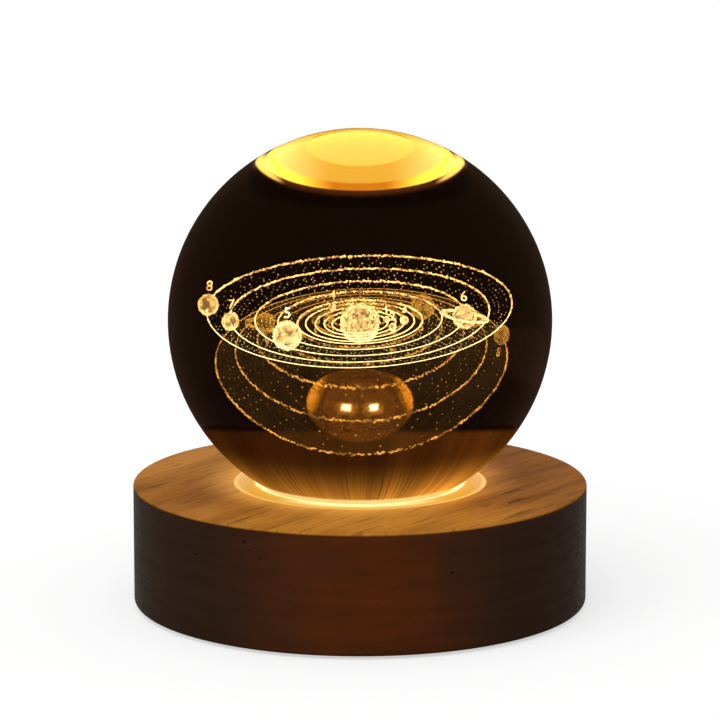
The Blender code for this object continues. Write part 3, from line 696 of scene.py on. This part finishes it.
def makeRingMaterial(r):
    material, tree, shader = newMaterial("frostedRing")
    split = axes(place(tree))
    colour, radius = ringSeen(r, tree, split)
    edge = remap(radius, r["litEdge"] - 0.7 * mm, r["litEdge"] + 0.7 * mm)
    aside = remap(sideways(split), *r["sides"])
    top = blendColour(aside, r["topMiddle"], r["topSides"])
    top = blendColour(edge, top, r["topRim"])
    cone = blendColour(aside, r["coneMiddle"], r["coneSides"])
    outer = remap(radius, r["coneTop"] - 2.0 * mm, r["coneTop"] - 1.2 * mm)
    seen = blendColour(outer, r["cone"], colour)
    through = blendColour(outer, cone, top)
    outward = remap(sideways(split), *r["echoAside"])
    echo = blendColour(outward, r["echoMiddle"], r["echoSides"])
    echo = blendColour(edge, echo, r["echoRim"])
    shine(material, seenOrThrough(tree, seen, through, echo))
    feed(shader, {"Base Color": r["plastic"], "Roughness": r["rough"], "Specular IOR Level": r["gloss"]})
    return material


def makeSeatRing(r):
    profile = [(r["bore"], ringLow.z), (ringRadius, ringLow.z)]
    profile += arc((ringRadius - r["edgeRound"], baseTop - r["edgeRound"]), r["edgeRound"], 0, 90)
    profile += [((ringRadius + r["coneTop"]) / 2, baseTop)]
    profile += [(r["coneTop"], baseTop), (r["bore"], r["coneFoot"])]
    shape = spun(profile, r["steps"])
    piece = addPiece("glowRing", shape, makeRingMaterial(r), "base", "frosted_plastic", "seat_ring")
    hideFrom(piece, "diffuse")


makeSeatRing(ring)
print("seat ring made")


# LED board and its parts

ledParts = {
    "board": (0.8, 0.78, 0.72, 1),
    "boardRough": 0.45,
    "boardSeen": (0.72, 0.52, 0.24, 1),
    "boardNear": (17.5, 13.4, 2.3, 1),
    "boardFar": (17.5, 12.2, 1.8, 1),
    "boardEcho": (7.2, 5.2, 1.4, 1),
    "haloSeen": (1.30, 1.00, 0.55, 1),
    "halo": (56.0, 64.0, 32.0, 1),  # round each LED
    "haloReach": (0.8 * mm, 5.0 * mm),
    "haloPower": 1.6,
    "haloEcho": (34.0, 35.0, 11.0, 1),
    "haloEchoReach": 7.5 * mm,
    "lens": (0.9, 0.6, 0.2, 1),
    "lensAlpha": 0.5,
    "lensSeen": (3.0, 2.6, 1.5, 1),
    "lensGlow": (420.0, 460.0, 200.0, 1),
    "lensEcho": (250.0, 690.0, 2000.0, 1),
    "lensRise": 0.16 * mm,
    "lensWall": 0.08 * mm,
    "lensGap": 0.15 * mm,  # inside its frame, and under the frame's top
    "housing": (0.8, 0.78, 0.7, 1),
    "housingSeen": (1.00, 0.82, 0.46, 1),
    "housingGlow": (240.0, 250.0, 110.0, 1),
    "housingEcho": (150.0, 290.0, 400.0, 1),
    "housingRound": 0.12 * mm,
    "inset": 0.55 * mm,
    "sunk": 0.25 * mm,
    "partSeen": (0.10, 0.06, 0.02, 1),
    "partGlow": (9.0, 7.6, 1.6, 1),
    "partEcho": (4.0, 3.0, 0.8, 1),
    "partRound": 0.06 * mm,
    "capLength": 0.5 * mm,  # of a resistor's plated end
    "capOver": 0.02 * mm,
}


# A lit surface whose light is a little uneven
def makeGlowMaterial(name, base, seen, through, echo):
    material, tree, shader = newMaterial(name)
    cloud = noise(place(tree), 700.0, detail=2.0)
    level = remap(cloud, 0.25, 0.75, 0.82, 1.0)
    shine(material, scaled(seenOrThrough(tree, seen, through, echo), level))
    feed(shader, {"Base Color": base, "Roughness": 0.4})
    return material


# The board's painted light from its LEDs: a halo round each LED, brighter towards the middle where the ball
# shows it
def makeBoardMaterial(p):
    material, tree, shader = newMaterial("whiteBoard")
    near = seatLight(tree, 4.0 * mm, boardHigh.x)["Light"]
    colour = blendColour(near, p["boardFar"], p["boardNear"])
    cloud = noise(place(tree), 160.0, detail=2.0)
    colour = blendColour(remap(cloud, 0.35, 0.7, 0.0, 0.3), colour, p["boardFar"])
    ledLow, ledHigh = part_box("led_right")
    split = axes(place(tree))
    aside = maths("SUBTRACT", sideways(split), (ledLow.x + ledHigh.x) / 2)
    away = vectorMaths("LENGTH", follow("CombineXYZ", {0: aside, 1: split["Y"]})[0])["Value"]
    halo = maths("POWER", remap(away, *p["haloReach"], 1.0, 0.0), p["haloPower"])
    seen = blendColour(halo, p["boardSeen"], p["haloSeen"])
    through = blendColour(halo, colour, p["halo"])
    around = remap(away, (ledHigh.x - ledLow.x) / 2, p["haloEchoReach"], 1.0, 0.0)
    echo = blendColour(around, p["boardEcho"], p["haloEcho"])
    shine(material, seenOrThrough(tree, seen, through, echo))
    feed(shader, {"Base Color": p["board"], "Roughness": p["boardRough"]})
    return material


# The LED's frame, with the hollow that holds the lens
def ledHousing(p, low, high):
    shape = roundEdges(block(low, high), p["housingRound"])
    shape.faces.ensure_lookup_table()
    lid = max(shape.faces, key=lambda face: (face.calc_center_median().z, face.calc_area()))
    bmesh.ops.inset_region(shape, faces=[lid], thickness=p["inset"])
    bmesh.ops.translate(shape, vec=(0, 0, -p["sunk"]), verts=lid.verts)
    return shape


def ledLens(p, low, high):
    half = (high.x - low.x) / 2 - p["inset"] - p["lensGap"]
    dome = bmesh.new()
    bmesh.ops.create_grid(dome, x_segments=10, y_segments=10, size=half)
    for vert in dome.verts:
        rise = (1 - (vert.co.x / half) ** 2) * (1 - (vert.co.y / half) ** 2)
        vert.co.z = p["lensRise"] * rise
    whole = dome.faces[:] + dome.edges[:] + dome.verts[:]
    bmesh.ops.solidify(dome, geom=whole, thickness=p["lensWall"])
    middle = ((low.x + high.x) / 2, (low.y + high.y) / 2, high.z - p["lensGap"])
    bmesh.ops.translate(dome, vec=middle, verts=dome.verts)
    return dome


def makeLeds(p):
    phosphor = makeGlowMaterial("ledPhosphor", p["lens"], p["lensSeen"], p["lensGlow"], p["lensEcho"])
    feed(phosphor.node_tree.nodes["Principled BSDF"], {"Alpha": p["lensAlpha"]})
    strengths = (p["housingSeen"], p["housingGlow"], p["housingEcho"])
    housing = makeGlowMaterial("ledHousing", p["housing"], *strengths)
    for side in ("left", "right"):
        node = "led_" + side
        low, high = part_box(node)
        shape = ledHousing(p, low, high)
        hideFrom(addPiece("ledHousing_" + side, shape, housing, "base", "led_phosphor", node), "diffuse")
        shape = ledLens(p, low, high)
        hideFrom(addPiece("ledLens_" + side, shape, phosphor, "base", "led_phosphor"), "diffuse")


# A finish for the small parts that the LEDs light up from beside them
def litCopy(name, p):
    material = finishes[name].copy()
    shine(material, seenOrThrough(material.node_tree, p["partSeen"], p["partGlow"], p["partEcho"]))
    return material


def makeResistors(p, litSteel):
    litCeramic = litCopy("black_ceramic", p)
    over = p["capOver"]
    for side in ("left", "right"):
        node = "led_resistor_" + side
        low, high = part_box(node)
        shape = roundEdges(block(low, high), p["partRound"])
        addPiece("resistorBody_" + side, shape, litCeramic, "base", "black_ceramic", node)
        for end, x in (("a", low.x), ("b", high.x - p["capLength"])):
            capHigh = (x + p["capLength"] + over, high.y + over, high.z + over)
            cap = roundEdges(block((x - over, low.y - over, low.z), capHigh), p["partRound"])
            addPiece(f"resistorEnd_{side}_{end}", cap, litSteel, "base", "steel")


finishes["white_board"] = makeBoardMaterial(ledParts)
makeLeds(ledParts)
litScrews = litCopy("steel", ledParts)
makeResistors(ledParts, litScrews)
print("LED parts made")


# Rear panel, socket and button

rear = {
    "edgeRound": 0.35 * mm,
    "socketHalfHeight": 1.63 * mm,
    "buttonHole": 2.6 * mm,  # radius
    "lipRound": 0.08 * mm,
    "wall": 0.3 * mm,
    "pinCount": 6,
    "pinSize": (0.34 * mm, 4.0 * mm, 0.05 * mm),
    "pinStep": 0.9 * mm,
    "pinBack": 2.3 * mm,  # from the tongue's outer end to the pins' middle
    "pinHeight": 0.37 * mm,  # over the socket's axis
    "stem": 0.8 * mm,
    "footBack": 1.1 * mm,  # behind the panel
    "footThick": 0.8 * mm,
    "footWider": 0.6 * mm,
    "faceRound": 0.4 * mm,
    "dish": 0.18 * mm,
}


def middleX(low, high):
    return (low.x + high.x) / 2


def makeRearPanel(r):
    halfHeight = (panelHigh.z - panelLow.z) / 2
    shape = slab(panelHigh.x, halfHeight, panelLow.y, panelHigh.y, steps=28)
    panel = addPiece("rearPlate", shape, finishes["black_plastic"], "base", "black_plastic", "rear_panel")
    low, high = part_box("socket_shell")
    halfWidth = (high.x - low.x) / 2 + fitGap
    front, back = panelLow.y - past, panelHigh.y + past
    cutAway(panel, slab(halfWidth, r["socketHalfHeight"] + fitGap, front, back, middleX(low, high)))
    hole = bmesh.new()
    size = {"radius1": r["buttonHole"], "radius2": r["buttonHole"], "depth": 12 * mm}
    bmesh.ops.create_cone(hole, cap_ends=True, segments=48, **size)
    centre = (middleX(*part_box("button_cap")), panelHigh.y, panelAxis)
    bmesh.ops.translate(laidBack(hole), vec=centre, verts=hole.verts)
    cutAway(panel, hole)
    roundRims(panel, r["edgeRound"], 3)


def makeSocket(r):
    low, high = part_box("socket_shell")
    middle = middleX(low, high)
    halfWidth = (high.x - low.x) / 2
    halfHeight = high.z - panelAxis
    shape = slab(halfWidth, halfHeight, low.y, high.y, middle)
    shell = addPiece("socketShell", shape, finishes["steel"], "base", "steel", "socket_shell")
    wall = r["wall"]
    cutAway(shell, slab(halfWidth - wall, halfHeight - wall, low.y - past, high.y + past, middle))
    roundRims(shell, r["lipRound"], 2)
    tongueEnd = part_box("socket_tongue")[1].y
    pins = bmesh.new()
    for i in range(r["pinCount"]):
        x = middle + (i - (r["pinCount"] - 1) / 2) * r["pinStep"]
        pin = bmesh.ops.create_cube(pins, size=1)["verts"]
        bmesh.ops.scale(pins, vec=r["pinSize"], verts=pin)
        spot = (x, tongueEnd - r["pinBack"], panelAxis + r["pinHeight"])
        bmesh.ops.translate(pins, vec=spot, verts=pin)
    addPiece("socketPins", pins, finishes["steel"], "base", "steel")


# The button's cap with a slightly dished face, its foot and its stem
def makeButton(r):
    low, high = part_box("button_cap")
    stem = r["stem"]
    foot = (high.x - low.x) / 2
    cap = foot - r["footWider"]
    back = panelLow.y - r["footBack"]
    front = back + r["footThick"]
    edge = r["faceRound"]
    profile = [(0, low.y), (stem, low.y), (stem, back), (foot, back), (foot, front), (cap, front)]
    profile += arc((cap - edge, high.y - edge), edge, 0, 90)
    for i in range(1, 9):
        sunk = r["dish"] * math.sin(math.pi / 2 * i / 8)
        profile.append(((cap - edge) * (1 - i / 8), high.y - sunk))
    shape = laidBack(spun(profile, 64, closed=False))
    bmesh.ops.translate(shape, vec=(middleX(low, high), 0, panelAxis), verts=shape.verts)
    addPiece("buttonCap", shape, finishes["dark_plastic"], "button", "dark_plastic", "button_cap")


makeRearPanel(rear)
makeSocket(rear)
makeButton(rear)
print("rear parts made")


# Crystal ball. Heights and widths in its material are shares of the radius, from its middle

ball = {
    "steps": 192,
    "ior": 1.475,
    # painted shade: the glass is darkened and its outer mirror dimmed, for the dark surroundings seen through
    # the clear crystal
    "entryShadeTint": (0.25, 0.205, 0.17, 1),
    "exitShadeTint": (0.046, 0.031, 0.024, 1),
    "clearBelow": -0.80,  # where the seat lets the base's light in
    "clearEdge": 0.03,
    "outerMirror": (0.04, 0.026, 0.017, 1),
    "innerMirror": 0.18,
    "innerTint": (1.0, 0.66, 0.36),
    "mirrorShare": 0.9,  # of the rays inside, so that few are lost in the dark
    "mirrorTimes": 2,  # reflections inside the ball that are followed
    "firstEdge": 0.04,
    "secondAbove": (0.30, 0.40),
}

# The ball's painted reflection of the wood, and the seat's painted light
ballLight = {
    "dark": (0.040, 0.0100, 0.0010, 1),
    "light": (0.66, 0.232, 0.022, 1),
    "zone": (0.203, -0.568),  # slope and height of the brown zone's upper edge
    "zoneEdge": (-0.03, 0.005),
    "climb": (-0.55, -0.86),
    "climbPower": 2.2,
    "streaks": (0.47, 0.68, 1.05, 0.40),
    "streakFade": (-0.58, -0.74, 0.35, 1.0),
    "streakMean": 0.88,
    "broadStreaks": (0.3, 0.7, 0.7, 1.2),
    "rightward": (-0.1, 0.55, 1.0, 2.1),
    "seatLine": (0.95, 0.66, 0.20, 1),
    "seatLineAt": (-0.838, -0.822),
    "sideSpill": (24.0, 25.0, 9.0, 1),
    "spillSides": (0.47, 0.53),
    "spillBelow": (-0.825, -0.815),
}


# Glass darkened as painted shade, whose inner mirror is followed for a set number of reflections
def ballGlass(b, tree, height, inside):
    clear = remap(height, b["clearBelow"] - b["clearEdge"], b["clearBelow"], 1.0, 0.0)
    leaving = blendColour(clear, b["exitShadeTint"], grey(1))
    tint = blendColour(inside, b["entryShadeTint"], leaving)
    bending = follow("BsdfRefraction", {"Color": tint, "Roughness": 0.0, "IOR": b["ior"]})[0]
    fresnel = put(tree, "Fresnel", {"IOR": b["ior"]}).outputs[0]
    strength = maths("ADD", fresnel, b["innerMirror"])
    strength = maths("MULTIPLY", strength, mirrorBoost / b["mirrorShare"], clamp=True)
    mirror = blendColour(inside, b["outerMirror"], scaled(b["innerTint"], strength))
    gloss = follow("BsdfAnisotropic", {"Color": mirror, "Roughness": 0.0})[0]
    depth = mirrorDepth(tree)
    again = maths("GREATER_THAN", depth, onceMirrored)
    first = remap(height, b["clearBelow"], b["clearBelow"] + b["firstEdge"])
    kept = blend(again, first, remap(height, *b["secondAbove"]))
    kept = times(kept, maths("LESS_THAN", depth, b["mirrorTimes"] - 0.5))
    share = blend(inside, fresnel, times(kept, b["mirrorShare"]))
    return follow("MixShader", {0: share, 1: bending, 2: gloss})[0]


# Painted reflection of the wood low in the ball, with its radial streaks, a painted bright line at the seat,
# and the painted light the seat spills inside at the sides
def ballGlow(g, tree, unit, split, inside):
    height = split["Z"]
    around = vectorMaths("NORMALIZE", vectorMaths("MULTIPLY", unit, (1, 1, 0))[0])[0]
    rays = noise(around, 60.0, detail=5.0, rough=0.75)
    broadRays = noise(around, 5.0, detail=2.0)
    edge = maths("MULTIPLY_ADD", maths("ABSOLUTE", split["Y"]), *g["zone"])
    zone = remap(maths("SUBTRACT", height, edge), *g["zoneEdge"], 1.0, 0.0)
    climb = maths("POWER", remap(height, *g["climb"], smooth=False), g["climbPower"])
    colour = blendColour(climb, g["dark"], g["light"])
    fine = remap(rays, *g["streaks"])
    fine = blend(remap(height, *g["streakFade"]), g["streakMean"], fine)
    streaks = times(fine, remap(broadRays, *g["broadStreaks"]))
    streaks = times(streaks, remap(split["X"], *g["rightward"]))
    seat = remap(height, *g["seatLineAt"], 1.0, 0.0)
    colour = blendColour(seat, colour, g["seatLine"])
    amount = blend(seat, times(zone, streaks), 1.0)
    amount = times(amount, maths("SUBTRACT", 1.0, inside))
    spill = remap(sideways(split), *g["spillSides"])
    spill = times(spill, remap(height, *g["spillBelow"], 1.0, 0.0))
    spill = times(spill, times(inside, mirrorFade(tree)))
    colour = blendColour(inside, colour, g["sideSpill"])
    return follow("Emission", {"Color": colour, "Strength": maths("ADD", amount, spill)})[0]


def makeCrystal(b, glow):
    material, tree, shader = newMaterial("crystal")
    tree.nodes.remove(shader)
    toUnit = 1 / ballRadius
    unit = place(tree, stretch=(toUnit, toUnit, toUnit), offset=[-c * toUnit for c in ballCentre])
    split = axes(unit)
    inside = put(tree, "NewGeometry").outputs["Backfacing"]
    glass = ballGlass(b, tree, split["Z"], inside)
    light = ballGlow(glow, tree, unit, split, inside)
    feed(tree.nodes["Material Output"], {"Surface": follow("AddShader", {0: glass, 1: light})[0]})
    material.cycles.emission_sampling = "NONE"
    return material


def makeBall(b, glow):
    shape = bmesh.new()
    size = {"u_segments": b["steps"], "v_segments": b["steps"] // 2, "radius": ballRadius}
    bmesh.ops.create_uvsphere(shape, matrix=Matrix.Translation(ballCentre), **size)
    addPiece("crystalBall", shape, makeCrystal(b, glow), "ball", "crystal", "crystal_ball", angle=80)


makeBall(ball, ballLight)
print("ball made")


# Engraving: a plain solar system on a tilted disc, as points of light in the glass

engraving = {
    "drop": 0.5 * mm,  # of the disc's middle below the ball's
    "tilt": 9.7,  # degrees, front edge down
    "roll": -1.8,
    "scale": 1.008,
    "orbits": (21.45, 18.2, 14.7, 11.5, 8.75, 7.6, 6.25, 5.0, 3.9),  # radii in mm
    "lineStep": 0.12 * mm,
    "lineSpeck": 0.075 * mm,
    "looseness": 0.055 * mm,
    "starRows": (9.7, 21.0, 0.58),  # first, last and step, in mm
    "starClear": 0.3 * mm,  # of an orbit's line
    "starStep": 1.1 * mm,
    "starSpeck": 0.062 * mm,
    "starLoose": 0.06 * mm,
    "starsLeftOut": 0.3,
    "shell": (0.86, 1.02),  # of a planet's radius, between which its points lie
    "shellSpeck": 0.06 * mm,
    "bandShares": (0.74, 0.82, 0.9, 1.0),
    "bandLean": 12,  # degrees
    "bandStep": 0.16 * mm,
    "bandSpeck": 0.07 * mm,
    "coreShare": 0.8,
    "signSize": (1.5 * mm, 0.35 * mm),  # and how much larger per mm of the planet
    "signDepth": 0.05 * mm,
    "signLift": 0.5,  # mm over the planet
    "gold": (1.0, 0.62, 0.20, 1),
    "white": (1.0, 0.90, 0.42, 1),
    "echo": (1.55, 1.22, 0.36, 1),  # seen in the ball's mirror
    "faintEcho": (0.35, 0.26, 0.08, 1),  # and after two reflections
    "glow": 13.0,
    "veilGlow": (9.0, 7.5, 3.5),  # painted reflection: a glow on the disc that only the mirror shows
    "veilAlpha": 0.02,
}

# angle in degrees from +X, the rest in mm; band is the radius of a planet's own ring
planets = {
    "sun": {"orbit": 0.0, "angle": 0, "size": 2.85, "count": 1500},
    "first": {"orbit": 3.9, "angle": 20, "size": 0.42, "count": 70},
    "second": {"orbit": 5.0, "angle": -22, "size": 0.55, "count": 90},
    "third": {"orbit": 6.25, "angle": 8, "size": 0.6, "count": 100},
    "fourth": {"orbit": 7.6, "angle": 118, "size": 0.5, "count": 80},
    "fifth": {"orbit": 11.5, "angle": 201, "size": 2.2, "count": 800},
    "sixth": {"orbit": 14.7, "angle": 6, "size": 1.75, "count": 620, "band": 3.5},
    "seventh": {"orbit": 18.2, "angle": 172, "size": 1.3, "count": 330},
    "eighth": {"orbit": 21.45, "angle": 156, "size": 1.4, "count": 360},
}


# Engraved points: whiter and stronger in front, gold behind, with uneven light
def makeEtch(name, e, share, calm=0.8):
    material, tree, shader = newMaterial(name)
    here = place(tree)
    front = remap(axes(here)["Y"], 9.0 * mm, -9.0 * mm)
    colour = blendColour(front, e["gold"], e["white"])
    coarse = remap(noise(here, 1100.0, detail=2.0), 0.38, 0.62, 0.25, 1.3)
    sparkle = blend(times(front, calm), coarse, 1.0)
    level = times(sparkle, remap(front, 0.0, 1.0, 0.75, 1.0))
    depth = mirrorDepth(tree)
    for least, mirrored in ((onceMirrored, e["echo"]), (twiceMirrored, e["faintEcho"])):
        colour = blendColour(maths("GREATER_THAN", depth, least), colour, mirrored)
    shine(material, scaled(colour, times(level, mirrorFade(tree))), e["glow"] * share)
    feed(shader, {"Base Color": grey(0.0), "Specular IOR Level": 0.0})
    return material


def discMatrix(e):
    tilt = Matrix.Rotation(math.radians(e["tilt"]), 4, "X")
    roll = Matrix.Rotation(math.radians(e["roll"]), 4, "Y")
    size = Matrix.Scale(e["scale"], 4)
    return Matrix.Translation(ballCentre - Vector((0, 0, e["drop"]))) @ roll @ tilt @ size


def onCircle(radius, angle, height=0.0):
    return Vector((radius * math.cos(angle), radius * math.sin(angle), height))


def addEtched(name, shape, material):
    hideFrom(addPiece(name, shape, material, "ball", "crystal"), "diffuse", "shadow")


# Many small faceted points, made in lots because one large bmesh grows slowly
def addSpecks(name, specks, material):
    whole = bmesh.new()
    perLot = 150
    for start in range(0, len(specks), perLot):
        lot = bmesh.new()
        for spot, size in specks[start:start + perLot]:
            bmesh.ops.create_icosphere(lot, subdivisions=1, radius=size, matrix=Matrix.Translation(spot))
        mesh = bpy.data.meshes.new("lot")
        lot.to_mesh(mesh)
        lot.free()
        whole.from_mesh(mesh)
        bpy.data.meshes.remove(mesh)
    addEtched(name, whole, material)


# The orbits' lines, looser at the back
def orbitSpecks(e, disc, dice):
    specks = []
    for orbit in e["orbits"]:
        count = int(2 * math.pi * orbit * mm / e["lineStep"])
        for i in range(count):
            angle = 2 * math.pi * i / count
            behind = 0.5 + 0.5 * math.sin(angle)
            loose = behind * e["looseness"]
            spot = onCircle(orbit * mm, angle) + Vector([dice.gauss(0, loose) for axis in range(3)])
            specks.append((disc @ spot, e["lineSpeck"] * dice.uniform(0.85, 1.0 + 0.6 * behind)))
    return specks


# Rows of dots between the orbits, with some left out
def starSpecks(e, disc, dice):
    specks = []
    first, last, step = e["starRows"]
    for row in range(int((last - first) / step) + 1):
        radius = (first + row * step) * mm
        if min(abs(radius - orbit * mm) for orbit in e["orbits"]) < e["starClear"]:
            continue
        count = int(2 * math.pi * radius / e["starStep"])
        for i in range(count):
            if dice.random() < e["starsLeftOut"]:
                continue
            angle = 2 * math.pi * (i + 0.5 * (row % 2) + dice.uniform(-0.12, 0.12)) / count
            spot = onCircle(radius, angle, dice.gauss(0, e["starLoose"]))
            specks.append((disc @ spot, e["starSpeck"] * dice.uniform(0.7, 1.3)))
    return specks


def planetPlace(p, disc):
    return disc @ onCircle(p["orbit"] * mm, math.radians(p["angle"]))


# A planet's shell of evenly spread points, and its own ring where it has one
def planetSpecks(e, p, disc, dice):
    centre = planetPlace(p, disc)
    specks = []
    for i in range(p["count"]):
        level = 1 - 2 * (i + 0.5) / p["count"]
        turn = i * math.pi * (3 - math.sqrt(5))
        way = onCircle(math.sqrt(1 - level * level), turn, level)
        spot = centre + way * p["size"] * mm * dice.uniform(*e["shell"])
        specks.append((spot, e["shellSpeck"] * dice.uniform(0.8, 1.4)))
    if "band" in p:
        lean = Matrix.Rotation(math.radians(e["bandLean"]), 3, "Y")
        for share in e["bandShares"]:
            radius = p["band"] * share * mm
            count = int(2 * math.pi * radius / e["bandStep"])
            for i in range(count):
                spot = centre + lean @ onCircle(radius, 2 * math.pi * i / count)
                specks.append((spot, e["bandSpeck"] * dice.uniform(0.8, 1.2)))
    return specks


# The dimmer mottled bodies inside the planets' shells of points
def addCores(e, disc, material):
    whole = bmesh.new()
    for p in planets.values():
        size = {"radius": e["coreShare"] * p["size"] * mm, "matrix": Matrix.Translation(planetPlace(p, disc))}
        bmesh.ops.create_icosphere(whole, subdivisions=3, **size)
    addEtched("planetCores", whole, material)


# A plain number over each planet, counted from the sun
def makeNumerals(e, disc, material):
    whole = bmesh.new()
    for number, p in list(enumerate(planets.values()))[1:]:
        curve = bpy.data.curves.new("sign", "FONT")
        curve.body = str(number)
        curve.align_x = "CENTER"
        curve.size = e["signSize"][0] + e["signSize"][1] * p["size"]
        curve.extrude = e["signDepth"]
        curve.resolution_u = 3
        text = bpy.data.objects.new("sign", curve)
        scene.collection.objects.link(text)
        depsgraph = bpy.context.evaluated_depsgraph_get()
        mesh = bpy.data.meshes.new_from_object(text.evaluated_get(depsgraph))
        over = planetPlace(p, disc) + Vector((0, 0, (p["size"] + e["signLift"]) * mm))
        mesh.transform(Matrix.Translation(over) @ Matrix.Rotation(math.pi / 2, 4, "X"))
        whole.from_mesh(mesh)
        bpy.data.objects.remove(text)
        bpy.data.curves.remove(curve)
        bpy.data.meshes.remove(mesh)
    addEtched("numerals", whole, material)


# A glowing sheet at the disc, seen after one reflection alone: a painted reflection in the ball's mirror
def makeVeil(e, disc):
    material, tree, shader = newMaterial("paintedReflectionSheet")
    once = maths("COMPARE", mirrorDepth(tree), 1.0, 0.5)
    cloud = noise(place(tree), 350.0)
    level = times(once, remap(cloud, 0.3, 0.7, 0.75, 1.25))
    shine(material, scaled(e["veilGlow"], level))
    feed(shader, {"Base Color": grey(0.0), "Specular IOR Level": 0.0, "Alpha": e["veilAlpha"]})
    sheet = bmesh.new()
    size = {"segments": 128, "radius": e["orbits"][0] * mm}
    bmesh.ops.create_circle(sheet, cap_ends=True, matrix=disc, **size)
    piece = addPiece("paintedReflectionSheet", sheet, material, "ball", "crystal")
    hideFrom(piece, "diffuse", "transmission", "shadow")


def makeEngraving(e):
    dice = random.Random(7)
    disc = discMatrix(e)
    lines = makeEtch("etchedLines", e, 1.0)
    stars = makeEtch("etchedStars", e, 0.5)
    bodies = makeEtch("etchedPlanets", e, 1.0, 0.25)
    cores = makeEtch("etchedCores", {**e, "white": e["gold"]}, 0.30, 0.0)
    addSpecks("orbitLines", orbitSpecks(e, disc, dice), lines)
    addSpecks("starDots", starSpecks(e, disc, dice), stars)
    small = []
    for name, p in planets.items():
        specks = planetSpecks(e, p, disc, dice)
        if p["count"] > 300:
            addSpecks("planet_" + name, specks, bodies)
        else:
            small += specks
    addSpecks("planets_inner", small, bodies)
    addCores(e, disc, cores)
    makeNumerals(e, disc, lines)
    makeVeil(e, disc)


makeEngraving(engraving)
print("engraving made")


# Finishes for the nodes that keep their own shape

greenBoard = {
    "mask": (0.020, 0.120, 0.050, 1),
    "track": (0.050, 0.210, 0.085, 1),
    "trackScale": 240.0,
    "rough": (0.34, 0.46),
}


def makeGreenBoard(g):
    material, tree, shader = newMaterial("greenBoard")
    here = place(tree)
    tracks = follow("TexBrick", {"Vector": here, "Scale": g["trackScale"], "Mortar Size": 0.03})["Fac"]
    colour = blendColour(tracks, g["mask"], g["track"])
    rough = remap(noise(here, 300.0), 0.3, 0.7, *g["rough"])
    feed(shader, {"Base Color": colour, "Roughness": rough})
    return material


def dressNodes():
    slots = {row["node"]: row["material_slot"] for row in frame["record"]["subparts"]}
    for name, node in frame["nodes"].items():
        if node.hide_render:
            continue
        finish = litScrews if name.startswith("led_screw") else finishes[slots[name]]
        for holder in node.material_slots:
            holder.material = finish


finishes["green_board"] = makeGreenBoard(greenBoard)
dressNodes()
frame["nodes"]["led_board"].visible_diffuse = False
print("nodes dressed")
